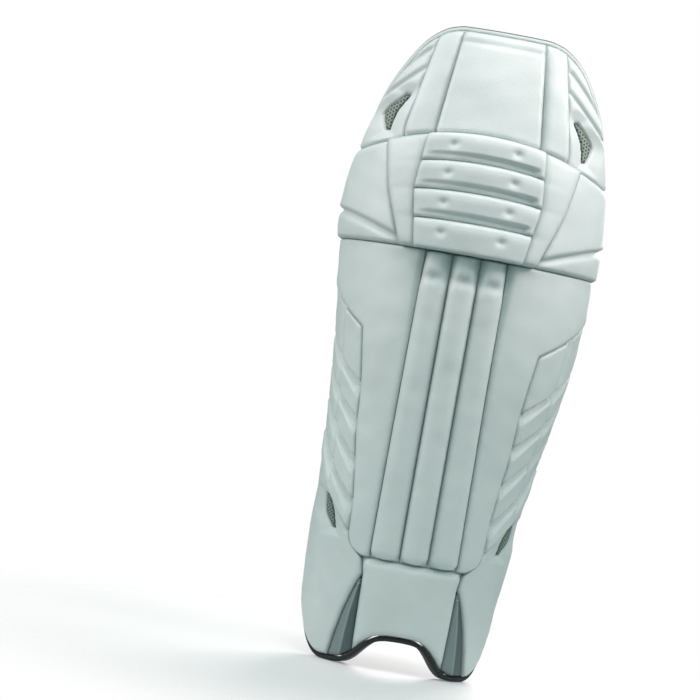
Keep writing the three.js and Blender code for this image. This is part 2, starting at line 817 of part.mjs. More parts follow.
// Point of a strap: share along it, height, and offset away from the leg
const PLAN_STEP = 0.002;
function strapPoint(share, z, offset) {
  const at = strapPlan(share, z);
  const behind = strapPlan(Math.max(share - PLAN_STEP, 0), z);
  const run = strapPlan(Math.min(share + PLAN_STEP, 1), z).sub(behind);
  const out = new THREE.Vector2(-run.y, run.x).normalize();
  return new THREE.Vector3(at.x + offset * out.x, at.y + offset * out.y, z);
}

// Band on a strap: stations along it with their lower and upper heights
function band(stations, from, to) {
  const geometry = new THREE.BoxGeometry(1, 1, 1, stations.length - 1, 1, 1);
  geometry.deleteAttribute('normal');
  geometry.deleteAttribute('uv');
  const position = geometry.attributes.position;
  for (let i = 0; i < position.count; i += 1) {
    const k = Math.round((0.5 - position.getX(i)) * (stations.length - 1));
    const { share, low, high } = stations[k];
    const z = position.getY(i) > 0 ? high : low;
    const point = strapPoint(share, z, position.getZ(i) > 0 ? to : from);
    position.setXYZ(i, point.x, point.y, point.z);
  }
  return mergeVertices(geometry);
}

const evenly = (count) => Array.from({ length: count + 1 }, (unused, i) => i / count);
const STRAP_SEGMENTS = 34;
const WEB_SEGMENTS = 16;
const WEB_THICK = 1.2;
const WEB_MARGIN = 3;
const TAB_SEGMENTS = 20;
const TAB_THICK = 2;
const TAB_TOP = 1.5;
const webBack = STRAP_THICK + SEAM_GAP;
const tabBack = webBack + WEB_THICK + SEAM_GAP;
for (const [word, strap] of Object.entries(STRAPS)) {
  const { low, high } = strap;
  const mid = (low + high) / 2;
  const run = evenly(STRAP_SEGMENTS).map((share) => ({ share, low, high }));
  addMesh(`${word}_strap`, 'strap_elastic', band(run, 0, STRAP_THICK));
  const web = evenly(WEB_SEGMENTS).map((share) => ({
    share: strapShare(lerp(strap.webFrom, strap.webTo, share), mid),
    low: low + WEB_MARGIN,
    high: high - WEB_MARGIN,
  }));
  addMesh(`${word}_webbing`, 'strap_webbing', band(web, webBack, webBack + WEB_THICK));
  const tab = evenly(TAB_SEGMENTS).map((share) => ({
    share: strapShare(lerp(strap.root, strap.tip, share), mid),
    low: lerp(high, low, sample(TAB_SHAPE, 'at', 'drop', 1 - share)),
    high: high - TAB_TOP,
  }));
  addMesh(`${word}_tab`, 'tab_leather', band(tab, tabBack, tabBack + TAB_THICK));
}

// Buckle: a flat frame with two windows, seated on the calf strap
const BUCKLE = { x: -88, width: 30, height: 62, rim: 5, thick: 4 };
const windowWidth = (BUCKLE.width - 3 * BUCKLE.rim) / 2;
const windowHeight = BUCKLE.height - 2 * BUCKLE.rim;
const block = (width, height, thick) => {
  const geometry = new THREE.BoxGeometry(width, height, thick);
  geometry.deleteAttribute('normal');
  geometry.deleteAttribute('uv');
  return mergeVertices(geometry);
};
let buckle = block(BUCKLE.width, BUCKLE.height, BUCKLE.thick);
for (const side of [-1, 1]) {
  const opening = block(windowWidth, windowHeight, BUCKLE.thick * 2);
  opening.translate(side * (windowWidth + BUCKLE.rim) / 2, 0, 0);
  buckle = carve(buckle, opening);
}
const buckleZ = (STRAPS.calf.low + STRAPS.calf.high) / 2;
const seatShare = strapShare(BUCKLE.x, buckleZ);
const seat = strapPoint(seatShare, buckleZ, webBack + BUCKLE.thick / 2);
const seatLow = strapPoint(seatShare, STRAPS.calf.low, webBack + BUCKLE.thick / 2);
const seatHigh = strapPoint(seatShare, STRAPS.calf.high, webBack + BUCKLE.thick / 2);
const upright = seatHigh.sub(seatLow).normalize();
const along = upright.clone().cross(strapPoint(seatShare, buckleZ, BUCKLE.height).sub(seat)).normalize();
const seatFrame = new THREE.Matrix4().makeBasis(along, upright, along.clone().cross(upright));
buckle.applyMatrix4(seatFrame.setPosition(seat));
addMesh('calf_buckle', 'buckle_plastic', buckle);

// The origin is on the floor, under the middle of the whole pad
const extent = new THREE.Box3().setFromObject(pad);
const middle = extent.getCenter(new THREE.Vector3());
for (const mesh of pad.children) {
  mesh.geometry.translate(-middle.x, -middle.y, -extent.min.z);
}

export default pad;
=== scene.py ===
"""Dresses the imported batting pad: padded facing, lining, straps, bindings and stitching."""
import math
from collections import namedtuple

import bmesh
import bpy
import numpy as np
from bpy.props import FloatProperty, FloatVectorProperty, PointerProperty
from mathutils import Matrix, Vector


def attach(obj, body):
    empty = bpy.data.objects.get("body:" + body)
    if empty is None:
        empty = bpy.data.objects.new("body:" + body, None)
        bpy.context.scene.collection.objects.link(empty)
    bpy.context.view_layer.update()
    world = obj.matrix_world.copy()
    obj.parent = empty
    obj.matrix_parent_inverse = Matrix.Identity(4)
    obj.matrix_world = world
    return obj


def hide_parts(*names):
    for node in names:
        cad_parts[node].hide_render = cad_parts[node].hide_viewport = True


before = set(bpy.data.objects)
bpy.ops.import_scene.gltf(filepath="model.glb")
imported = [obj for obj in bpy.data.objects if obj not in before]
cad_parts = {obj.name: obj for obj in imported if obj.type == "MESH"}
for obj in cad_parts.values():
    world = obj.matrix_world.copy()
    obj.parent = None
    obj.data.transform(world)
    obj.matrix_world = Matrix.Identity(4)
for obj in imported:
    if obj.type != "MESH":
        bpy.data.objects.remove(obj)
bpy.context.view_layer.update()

bl_info = {
    "name": "Batting pad",
    "version": (1, 0, 0),
    "blender": (4, 5, 0),
    "location": "View3D > Sidebar > Batting pad",
    "description": "Builds the looks of a batting pad on its packed solids",
    "category": "Object",
}

MM = 0.001

# Place of the pad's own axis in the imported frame, in millimetres
AXIS_X = -2.8828
AXIS_Y = 5.6480

# Levels of the main seams, in millimetres above the floor
PAD_TOP = 680
KNEE_SEAM = 567
KNEE_DROP = 31
SKIRT = 442
INSTEP_SEAM = 115
CALF_FOOT = 178

# Gaps and depths, in millimetres
BINDING = 5.2
SEAM_GAP = 0.6
SEWN_GAP = 0.36
BINDING_GAP = 0.97
LAYER_GAP = 0.88
LINING_EDGE = 5
FACING_REACH = 10
LINING_REACH = -6
STRAP_THICK = 2.4
STRAP_BOW = 36
STRAP_GRIP = 14

Section = namedtuple("Section", "z left right front depth")
SECTIONS = [
    Section(0, 94, 84, -60, 84),
    Section(70, 99, 86, -55, 84),
    Section(130, 99, 92, -52, 84),
    Section(210, 99, 99, -50, 86),
    Section(290, 104, 114, -51, 90),
    Section(350, 109, 123, -54, 95),
    Section(410, 116, 127, -57, 100),
    Section(470, 121, 127, -60, 104),
    Section(530, 121, 127, -61, 104),
    Section(610, 118, 126, -57, 98),
    Section(680, 114, 123, -49, 90),
]

# Edges of the pad: turns and heights of the lower and upper ones, heights and turns of the rear one
BOTTOM_LINE = (
    (0, 6, 11, 15, 20, 24, 28, 32, 36, 40, 43, 50, 54, 58, 62, 67, 73, 80, 86, 90),
    (33, 32.6, 31.2, 28.2, 21.5, 14.8, 8.6, 4.2, 1.4, 0.2, 0, 0, 0.8, 3, 6.8, 13.5, 25, 45, 76, 104),
)
TOP_LINE = (
    (0, 20, 28, 35, 42, 50, 58, 65, 70, 76, 80),
    (680, 680, 677, 670, 659, 640, 619, 599, 581, 558, 540),
)
REAR_LINE = ((76, 110, 490, 515, 538), (86, 90, 90, 85, 76))

# Seams seen square on: heights and distances from the centre line
SEAMS = {
    "roll_inner": ((567, 680), (54, 42)),
    "roll_outer": ((567, 680), (85, 65)),
    "strip_inner": ((442, 503, 567), (52, 61, 56)),
    "strip_outer": ((442, 499, 567), (68, 87, 101)),
    "cane_inner": ((115, 442), (15, 15)),
    "cane_outer": ((115, 442), (46, 44)),
    "crease": ((115, 119, 126, 137, 165, 203, 243, 284, 352), (54, 61, 67, 70, 71, 75, 80, 83, 92)),
    "instep_outer": ((0, 97, 115), (48, 50.2, 54)),
    "ankle_inner": ((0, 30, 55, 75, 88, 97, 115), (74, 69.6, 64.6, 59, 54.6, 51.2, 54)),
    "cup_outer": ((442, 567), (37, 48)),
    "channel_outer": ((178, 442), (24, 24)),
    "stripe_outer": ((178, 442), (12, 12)),
    "trim_inner": ((178, 442), (73, 80)),
    "trim_outer": ((178, 442), (80, 87)),
    "heel_inner": ((0, 178), (38, 38)),
}

# Lines that rise outwards from the crease, in millimetres a degree
WING_TOP = (352, 1.1)
WING_FOOT = (137, 1.6)


def smooth_curve(keys, values, step):
    """Dense table of a smooth curve through the rows, with no overshoot between them."""
    keys = np.array(keys, float)
    values = np.array(values, float)
    rise = np.diff(values) / np.diff(keys)
    slope = np.empty_like(values)
    slope[0], slope[-1] = rise[0], rise[-1]
    before, after = rise[:-1], rise[1:]
    total = np.where(before + after == 0, 1, before + after)
    slope[1:-1] = np.where(before * after <= 0, 0, 2 * before * after / total)
    at = np.arange(keys[0], keys[-1] + step / 2, step)
    low = np.clip(np.searchsorted(keys, at, side="right") - 1, 0, len(keys) - 2)
    span = keys[low + 1] - keys[low]
    t = np.clip((at - keys[low]) / span, 0, 1)
    ease = t * t * (3 - 2 * t)
    start = t * (1 - t) ** 2 * span * slope[low]
    end = t * t * (t - 1) * span * slope[low + 1]
    return at, values[low] * (1 - ease) + values[low + 1] * ease + start + end


def column(rows, name, step):
    """Smooth curve by height through one column of a table."""
    return smooth_curve([row.z for row in rows], [getattr(row, name) for row in rows], step)


HALF_LEFT = column(SECTIONS, "left", 1)
HALF_RIGHT = column(SECTIONS, "right", 1)
FRONT = column(SECTIONS, "front", 1)
DEPTH = column(SECTIONS, "depth", 1)
BOTTOM = smooth_curve(*BOTTOM_LINE, 0.25)
TOP = smooth_curve(*TOP_LINE, 0.25)
REAR = smooth_curve(*REAR_LINE, 1)
CREASE = smooth_curve(*SEAMS["crease"], 0.25)


def read(curve, at):
    return np.interp(at, *curve)


def half_width(side, z):
    return np.where(np.asarray(side) < 0, read(HALF_LEFT, z), read(HALF_RIGHT, z))


def pad_plan(turn, z, offset):
    """Plan of the pad about its own axis, in millimetres: turn in degrees, offset outwards."""
    angle = np.radians(turn)
    half = half_width(turn, z)
    depth = read(DEPTH, z)
    out_x = np.sin(angle) * depth
    out_y = -np.cos(angle) * half
    size = np.hypot(out_x, out_y)
    x = half * np.sin(angle) + offset * out_x / size
    y = read(FRONT, z) + depth * (1 - np.cos(angle)) + offset * out_y / size
    return x, y


def in_frame(x, y, z):
    """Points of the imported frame, in metres."""
    return np.stack((x + AXIS_X, y + AXIS_Y, z + 0 * x), axis=-1) * MM


def pad_points(turn, z, offset):
    return in_frame(*pad_plan(turn, z, offset), z)


def arc_per_degree(turn, z, side):
    """Length of a degree of turn along the section, in millimetres."""
    angle = np.radians(turn)
    return np.hypot(half_width(side, z) * np.cos(angle), read(DEPTH, z) * np.sin(angle)) * math.pi / 180


def turn_at(x, z, side, reach):
    """Turn of a point that is seen square on at a distance from the centre line."""
    half = half_width(np.asarray(x) * side, z) + reach
    return np.degrees(np.arcsin(np.clip(x / half, -1, 1)))


# Marks that end a row of a piece, as turns
def seam_across(name, z):
    """Distance of a seam from the centre line; the crease and what runs on from it are smooth."""
    if name == "crease":
        return read(CREASE, z)
    if name == "ankle_inner":
        return np.where(z > INSTEP_SEAM, read(CREASE, z), np.interp(z, *SEAMS[name]))
    return np.interp(z, *SEAMS[name])


def seam(name):
    return lambda z, side, reach: turn_at(seam_across(name, z), z, side, reach)


def mirrored(name):
    return lambda z, side, reach: turn_at(-seam_across(name, z), z, side, reach)


def rear_edge(z, side, reach):
    return read(REAR, z)


def left_rear_edge(z, side, reach):
    return -read(REAR, z)


def crease_turn(z, side):
    return seam("crease")(z, side, FACING_REACH)


def crease_flare(z, side, reach):
    """The crease beside a shin panel, which turns out to the rear edge above the ribs."""
    flare = np.maximum(z - WING_TOP[0], 0) / WING_TOP[1]
    return np.minimum(crease_turn(np.minimum(z, WING_TOP[0]), side) + flare, read(REAR, z))


# Lines across the pad, as heights by turn
def level(z):
    return lambda turn, side: z + 0 * turn


def rib_line(line):
    z, slope = line
    return lambda turn, side: z + (turn - crease_turn(np.float64(z), side)) * slope


def knee_seam(turn, side):
    return KNEE_SEAM - KNEE_DROP * np.sin(np.radians(turn)) ** 2


def between(low, high, share):
    return lambda turn, side: low(turn, side) * (1 - share) + high(turn, side) * share


ARC_PER_DEGREE = 1.7


def stretch(curve, turn):
    """Upright measure of a millimetre taken square to an edge of the pad."""
    turn = np.abs(turn)
    return np.hypot(1, (read(curve, turn + 0.5) - read(curve, turn - 0.5)) / ARC_PER_DEGREE)


def bottom_edge(turn, side):
    return read(BOTTOM, np.abs(turn))


def top_edge(turn, side):
    return read(TOP, np.abs(turn))


def binding_top(turn, side):
    return bottom_edge(turn, side) + BINDING * stretch(BOTTOM, turn)


def binding_foot(turn, side):
    return top_edge(turn, side) - BINDING * stretch(TOP, turn)


def above_binding(turn, side):
    return binding_top(turn, side) + BINDING_GAP * stretch(BOTTOM, turn) - SEWN_GAP / 2


def below_binding(turn, side):
    return binding_foot(turn, side) - BINDING_GAP * stretch(TOP, turn) + SEWN_GAP / 2


Spot = namedtuple("Spot", "across up turn z x d_in d_out d_low d_high")
UPS = np.linspace(0, 1, 129)
SETTLE_ROUNDS = 40


class Patch:
    """Four-sided area of the pad between two lines and two marks, on one side or astride the centre."""

    def __init__(self, low, high, inner, outer, side=1, reach=FACING_REACH, gap=SEWN_GAP):
        self.low, self.high, self.side, self.reach, self.gap = low, high, side, reach, gap
        self.inner = self.settle(inner)
        self.outer = self.settle(outer)

    def settle(self, mark):
        z = np.full_like(UPS, PAD_TOP / 2)
        for _ in range(SETTLE_ROUNDS):
            turn = mark(z, self.side, self.reach)
            z = self.height(turn, UPS)
        return turn

    def height(self, turn, up):
        low = self.low(turn, self.side) + self.gap / 2
        high = self.high(turn, self.side) - self.gap / 2
        return low + (high - low) * up

    def spot(self, across, up):
        share = across if self.side > 0 else 1 - across
        start = np.interp(up, UPS, self.inner)
        end = np.interp(up, UPS, self.outer)
        arc = arc_per_degree((start + end) / 2, self.height((start + end) / 2, up), self.side)
        inset = self.gap / 2 / arc
        turn = start + inset + (end - start - 2 * inset) * share
        z = self.height(turn, up)
        arc = arc_per_degree(turn, z, self.side)
        x = (half_width(self.side * turn, z) + self.reach) * np.sin(np.radians(turn))
        d_low = (z - self.low(turn, self.side)) / self.lean(self.low, turn, arc)
        d_high = (self.high(turn, self.side) - z) / self.lean(self.high, turn, arc)
        return Spot(share, up, turn, z, x, (turn - start) * arc, (end - turn) * arc, d_low, d_high)

    def lean(self, line, turn, arc):
        """Upright measure of a millimetre taken square to a sloping line."""
        return np.hypot(1, (line(turn + 0.5, self.side) - line(turn - 0.5, self.side)) / arc)

    def points(self, spot, offset):
        return pad_points(self.side * spot.turn, spot.z, offset)


def ramp(value, start, span):
    """Straight rise from 0 to 1 over a span."""
    return np.clip((value - start) / span, 0, 1)


def roll(distance, radius):
    """Share of a round shoulder's full rise at a distance from its seam."""
    t = ramp(distance, 0, radius)
    return np.sqrt(np.clip(1 - (1 - t) ** 2, 0, 1))


def hollow(distance, width):
    """Round hollow: 1 along its middle, fading to 0 over a few widths."""
    return np.exp(-(distance / width) ** 2)


def edge_gap(spot):
    """Distance to the nearest edge of a patch."""
    return np.minimum(np.minimum(spot.d_in, spot.d_out), np.minimum(spot.d_low, spot.d_high))


def fade(gap, reach):
    """Shade that is full at an edge and fades inwards."""
    return np.exp(-np.maximum(gap, 0) / reach)


# Waves of a slow swell: their number, the turns between them and how much shorter each one is
DRIFT_WAVES = 5
SEED_TURN = 1.7
WAVE_TURN = 2.4
WAVE_SHORTER = 0.37


def drift(u, v, size, seed):
    """Slow uneven swell between -1 and 1, by place in millimetres."""
    total = 0
    for k in range(DRIFT_WAVES):
        angle = seed * SEED_TURN + k * WAVE_TURN
        wave = (u * math.cos(angle) + v * math.sin(angle)) / size * (1 + WAVE_SHORTER * k)
        total = total + np.sin(wave * 2 * math.pi + seed * (k + 1))
    return total / DRIFT_WAVES


Soft = namedtuple("Soft", "inner outer low high")

# Reach of the shade at a seam, the puckers along it and the lumps between, in millimetres
SEAM_SHADE = 1.2
PUCKER_DEEP = 0.25
PUCKER_STEP = 3.1
PUCKER_REACH = 4
PUCKER_START = 3
WANDER_SIZE = 34
WANDER_SEED = 3
LUMP_SIZE = 62
DENT_ONSET = 1.5
CURVE_STEP = 0.005


def pillow(seam_depth, rows, soft, *dents, lumps=0.5):
    """Outline of a padded piece: rows of full thickness, soft shoulders at its seams, and its dents."""
    curve = smooth_curve(*zip(*rows), CURVE_STEP)

    def outline(spot):
        sides = np.minimum(spot.d_in / soft.inner, spot.d_out / soft.outer)
        ends = np.minimum(spot.d_low / soft.low, spot.d_high / soft.high)
        short = np.hypot(1 - np.clip(sides, 0, 1), 1 - np.clip(ends, 0, 1))
        rise = np.sqrt(np.clip(1 - short ** 2, 0, 1))
        along = spot.turn * ARC_PER_DEGREE
        near = edge_gap(spot)
        # Painted shade at the seams, darkest at the edge and fading inwards
        shade = fade(near, SEAM_SHADE)
        wander = 2 * drift(along, spot.z, WANDER_SIZE, WANDER_SEED)
        pucker = np.sin((along + spot.z) / PUCKER_STEP + wander) * np.exp(-near / PUCKER_REACH)
        thick = seam_depth + (read(curve, spot.up) - seam_depth) * rise
        thick = thick + lumps * rise * drift(along, spot.z, LUMP_SIZE, seam_depth)
        thick = thick + PUCKER_DEEP * pucker * roll(near, PUCKER_START)
        # Each dent also gives the painted shade of its hollow, which darkens the colour there
        for dent in dents:
            depth, mark = dent(spot)
            thick = thick - depth * np.minimum(1, rise * DENT_ONSET)
            shade = np.maximum(shade, mark)
        return np.maximum(thick, LAYER_GAP + 1), np.clip(shade, 0, 1)

    return outline


def draw_out(bm, depth):
    """Draws all the faces of a flat mesh out into a closed solid."""
    drawn = bmesh.ops.extrude_face_region(bm, geom=bm.faces[:])
    raised = [part for part in drawn["geom"] if isinstance(part, bmesh.types.BMVert)]
    bmesh.ops.translate(bm, vec=(0, 0, depth), verts=raised)


def set_order(bm):
    """Puts edges and faces in the same order each run, because the cloth run depends on it."""
    bm.verts.index_update()
    count = len(bm.verts)

    def rank(part):
        numbers = [vert.index for vert in part.verts]
        return min(numbers) * count + max(numbers)

    bm.edges.sort(key=rank)
    bm.faces.sort(key=rank)


def grid_block(columns, rows):
    """Closed block, one unit thick, from a grid that is drawn out."""
    bm = bmesh.new()
    bmesh.ops.create_grid(bm, x_segments=columns, y_segments=rows, size=1)
    draw_out(bm, 1)
    set_order(bm)
    return bm


def shares_of(bm):
    """Shares across, up and through a block for each of its points."""
    bm.verts.index_update()
    co = np.array([v.co for v in bm.verts])
    return (co[:, 0] + 1) / 2, (co[:, 1] + 1) / 2, co[:, 2]


def set_points(bm, points, shade, cut_u, cut_v, tone=None):
    """Moves the points of a mesh, and keeps its seam shade, tone and cut lengths in metres."""
    # The seam attribute holds the painted shade of seams, creases and dents, which the materials read
    mark = bm.verts.layers.float.new("seam")
    for vert, point, dark in zip(bm.verts, points.tolist(), shade.tolist()):
        vert.co = point
        vert[mark] = dark
    if tone is not None:
        second = bm.verts.layers.float.new("tone")
        for vert, value in zip(bm.verts, tone.tolist()):
            vert[second] = value
    cut = bm.loops.layers.uv.new("cut")
    for face in bm.faces:
        for loop in face.loops:
            k = loop.vert.index
            loop[cut].uv = (cut_u[k] * MM, cut_v[k] * MM)
    bmesh.ops.recalc_face_normals(bm, faces=bm.faces[:])


def lay(bm, patch, faces, tone=None):
    """Lays a block over a patch, between the front and back that its faces give with their shade."""
    across, up, through = shares_of(bm)
    spot = patch.spot(across, up)
    front, back, shade = faces(spot)
    points = patch.points(spot, np.where(through > 0.5, front, back))
    tones = None if tone is None else tone(spot)
    set_points(bm, points, shade, patch.side * spot.turn * ARC_PER_DEGREE, spot.z, tones)
    return spot, through, shade


def add_piece(bm, name, slot, *nodes, fill=None, look=None):
    """Turns a finished mesh into a piece that rides on the pad in place of its solids."""
    for face in bm.faces:
        face.smooth = True
    mesh = bpy.data.meshes.new(name)
    bm.to_mesh(mesh)
    bm.free()
    piece = bpy.data.objects.new(name, mesh)
    bpy.context.scene.collection.objects.link(piece)
    mesh.materials.append(finish(look or slot))
    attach(piece, "root")
    if nodes:
        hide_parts(*nodes)
    return piece


# Sewn pieces with their patches, for the stitches, and padded pieces with their held points
SEWN = {}
PADDED = []
HELD_SHADE = 0.4
RIM_SHARE = 1e-4
LEAST_CELLS = 6


def sew(node, slot, patch, outline, cell=2.4, lining=False, fill=0.7, tone=None, look=None):
    """Padded piece over a patch, with a flat back against the other layer of the pad."""
    mid = patch.spot(np.array([0.0, 1.0, 0.5, 0.5]), np.array([0.5, 0.5, 0.0, 1.0]))
    wide = abs(mid.turn[1] - mid.turn[0]) * ARC_PER_DEGREE
    tall = abs(mid.z[3] - mid.z[2])
    bm = grid_block(max(LEAST_CELLS, round(wide / cell)), max(LEAST_CELLS, round(tall / cell)))
    sign = -1 if lining else 1

    def faces(spot):
        thick, shade = outline(spot)
        return sign * thick, sign * LAYER_GAP / 2, shade

    spot, through, shade = lay(bm, patch, faces, tone)
    piece = add_piece(bm, "dressed_" + node, slot, node, fill=fill, look=look)
    SEWN[node] = (patch, outline, sign, piece)
    sides = np.minimum(spot.across, 1 - spot.across)
    rim = np.minimum(sides, np.minimum(spot.up, 1 - spot.up)) < RIM_SHARE
    held = np.nonzero((through < 0.5) | rim | (shade > HELD_SHADE))[0]
    PADDED.append((piece, held.tolist()))


def as_sides():
    return ((-1, "left"), (1, "right"))


def line_gap(spot, start, end):
    """Distance, seen square on, from a straight line between two points given as (x, z)."""
    run = np.subtract(end, start)
    size = np.hypot(*run)
    gap = (spot.x - start[0]) * run[1] / size - (spot.z - start[1]) * run[0] / size
    along = (spot.x - start[0]) * run[0] / size + (spot.z - start[1]) * run[1] / size
    over = np.maximum(0, np.maximum(-along, along - size))
    return np.hypot(gap, over)


PRESSED_SHADE = 0.7
CROSS_SHADE = 0.75


def pressed_line(start, end, depth, width):
    """Groove pressed along a straight line."""
    def dent(spot):
        mark = hollow(line_gap(spot, start, end), width)
        return depth * mark, PRESSED_SHADE * mark
    return dent


def cross_seam(below_top, depth, width):
    """Seam sewn level across a piece, at a distance below its top."""
    def dent(spot):
        mark = hollow(spot.d_high - below_top, width)
        return depth * mark, CROSS_SHADE * mark
    return dent


Row = namedtuple("Row", "z inner outer")
TOP_VENT = [Row(562, 103, 107), Row(578, 100, 111), Row(600, 88, 93)]
ANKLE_VENT = [Row(138, 87, 90), Row(154, 91, 99), Row(170, 98, 101)]
CRESCENT = [Row(64, 60, 63), Row(82, 52, 62), Row(98, 46, 57), Row(112, 42, 46)]
ROW_STEP = 0.5

# Vents, in millimetres outwards from the pad's middle surface, and the dish they lie in
VENT_FLOOR = 6.4
VENT_FACE = 10
VENT_RIM = 0.5
VENT_LIP = 0.7
VENT_CROWN = 1.2
VENT_SHOULDER = 3.5
VENT_CLEAR = 0.1
VENT_SHADE = 1.5
DISH_SLOPE = 0.35
POCKET_SHADE = 0.9


def row_patch(rows, side, reach):
    """Patch whose sides run through the ends of its rows."""
    inner, outer = (column(rows, end, ROW_STEP) for end in ("inner", "outer"))
    return Patch(
        level(rows[0].z),
        level(rows[-1].z),
        lambda z, s, r: turn_at(read(inner, z), z, s, r),
        lambda z, s, r: turn_at(read(outer, z), z, s, r),
        side,
        reach,
    )


def vent_pocket(rows):
    """Depth inside the outline of a vent, negative outside it."""
    inner, outer = (column(rows, end, ROW_STEP) for end in ("inner", "outer"))

    def depth_inside(spot):
        inside = np.minimum(spot.x - read(inner, spot.z), read(outer, spot.z) - spot.x)
        return np.minimum(inside, np.minimum(spot.z - rows[0].z, rows[-1].z - spot.z))

    return depth_inside


def with_pocket(outline, rows):
    """Outline of a piece with a dished pocket for its vent."""
    inside_by = vent_pocket(rows)

    def pocketed(spot):
        thick, shade = outline(spot)
        inside = inside_by(spot)
        dish = VENT_FACE + VENT_LIP + DISH_SLOPE * np.maximum(-inside - VENT_RIM, 0)
        thick = np.minimum(thick, dish)
        open_share = ramp(inside + VENT_RIM + VENT_LIP, 0, VENT_LIP)
        thick = thick + (np.minimum(thick, VENT_FLOOR) - thick) * open_share
        return thick, np.maximum(shade, POCKET_SHADE * open_share)

    return pocketed


def grille(node, rows, side):
    """Mesh vent, slightly crowned, let into its pocket."""
    def faces(spot):
        near = edge_gap(spot)
        crown = VENT_FACE - VENT_CROWN / 2 + VENT_CROWN * roll(near, VENT_SHOULDER)
        return crown, VENT_FLOOR + SEAM_GAP + VENT_CLEAR, fade(near, VENT_SHADE)

    bm = grid_block(14, 34)
    lay(bm, row_patch(rows, side, FACING_REACH), faces)
    add_piece(bm, "dressed_" + node, "vent_mesh", node)


# Slanted grooves of the top wings: distances from the centre line and heights of their ends
TOP_GROOVES = (((74, 651), (126, 603)), ((76, 630), (132, 582)))
GROOVE_DEEP = 3.4
GROOVE_WIDE = 2.0


class PAD_OT_top_flap(bpy.types.Operator):
    """Make the top flap: centre panel, rolls, grooved wings and their vents"""
    bl_idname = "pad.top_flap"
    bl_label = "Top flap"

    def execute(self, context):
        panel = Patch(knee_seam, below_binding, mirrored("roll_inner"), seam("roll_inner"))
        rows = ((0, 19), (0.3, 19.5), (0.7, 18.5), (0.88, 17.5), (1, 16))
        sew("top_panel", "white_leather", panel,
            pillow(14, rows, Soft(4, 4, 6, 4), cross_seam(11, 2.2, 1.3)))
        for side, word in as_sides():
            slim = Patch(knee_seam, below_binding, seam("roll_inner"), seam("roll_outer"), side)
            sew(f"top_roll_{word}", "white_leather", slim,
                pillow(13, ((0, 20), (0.4, 20.5), (0.8, 18.5), (1, 15.5)), Soft(8, 8, 6, 5)))
            wing = Patch(knee_seam, below_binding, seam("roll_outer"), rear_edge, side)
            outline = pillow(
                11,
                ((0, 15), (0.3, 15.5), (0.7, 15), (1, 13.5)),
                Soft(4, 5, 6, 4),
                *(pressed_line(start, end, GROOVE_DEEP, GROOVE_WIDE) for start, end in TOP_GROOVES),
            )
            sew(f"top_wing_{word}", "white_leather", wing, with_pocket(outline, TOP_VENT), cell=1.5)
            grille(f"top_vent_{word}", TOP_VENT, side)
        return {"FINISHED"}


# Shares of the knee's height between its rolls
ROLL_BOUNDS = (0, 0.26, 0.51, 0.76, 1)

# Gutters under the rolls, in millimetres; each end opens after a first distance over a second one
GUTTER_OUTER = (6, 4)
GUTTER_INNER = (2, 14)
GUTTER_WIDE = 6.5
GUTTER_SIDE = 3
GUTTER_DEEP = 5
GUTTER_SHADE = 0.22
GUTTER_LEAST = 0.35


def gutter(spot):
    """Sunken strip along the foot of a knee roll, closed at both ends and deeper to the right."""
    ends = ramp(spot.d_out, *GUTTER_OUTER) * ramp(spot.d_in, *GUTTER_INNER)
    open_share = ramp(GUTTER_WIDE + GUTTER_SIDE - spot.d_low, 0, GUTTER_SIDE) * ends
    open_share = open_share * open_share * (3 - 2 * open_share)
    deeper = GUTTER_LEAST + (1 - GUTTER_LEAST) * spot.across
    return GUTTER_DEEP * open_share * deeper, GUTTER_SHADE * open_share * deeper


TUFT_SHARES = (0.25, 0.75)
TUFT_HEIGHT = 0.58
TUFT_WIDE = 3.8
TUFT_DEEP = 2.7
TUFT_SHADE = 0.5
TUFT_SHADE_WIDE = 0.7 * TUFT_WIDE


def tufts(spot):
    """Two buttoned dimples in a knee roll."""
    wide = spot.d_in + spot.d_out
    rise = (spot.up - TUFT_HEIGHT) * (spot.d_low + spot.d_high)
    away = np.minimum(*(np.hypot((spot.across - share) * wide, rise) for share in TUFT_SHARES))
    return TUFT_DEEP * hollow(away, TUFT_WIDE), TUFT_SHADE * hollow(away, TUFT_SHADE_WIDE)


PULL_WIDE = 0.03
PULL_REACH = 11
PULL_DEEP = 0.9
PULL_SHADE = 0.2


def roll_pulls(spot):
    """Faint pulls that run on from the gutters between the knee rolls."""
    mark = 0
    for share in ROLL_BOUNDS[1:-1]:
        mark = np.maximum(mark, hollow(spot.up - share, PULL_WIDE) * np.exp(-spot.d_in / PULL_REACH))
    return PULL_DEEP * mark, PULL_SHADE * mark


# Tuck crease: a point that it passes through, its slope, and the fold above it
TUCK_X = 66
TUCK_Z = 448
TUCK_SLOPE = 0.4
TUCK_ABOVE = 2.2
TUCK_BELOW = 4.5
TUCK_DEEP = 4.4
TUCK_SHADE = 0.5
FOLD_HIGH = 1.4
FOLD_ONSET = 3
FOLD_REACH = 22


def tuck_crease(spot):
    """Crease where the wing is tucked above its skirt and folds a little over it."""
    gap = spot.z - (TUCK_Z + (spot.x - TUCK_X) * TUCK_SLOPE)
    main = np.where(gap > 0, hollow(gap, TUCK_ABOVE), hollow(gap, TUCK_BELOW))
    over = FOLD_HIGH * ramp(gap, 0, FOLD_ONSET) * fade(gap, FOLD_REACH)
    return TUCK_DEEP * main - over, TUCK_SHADE * main


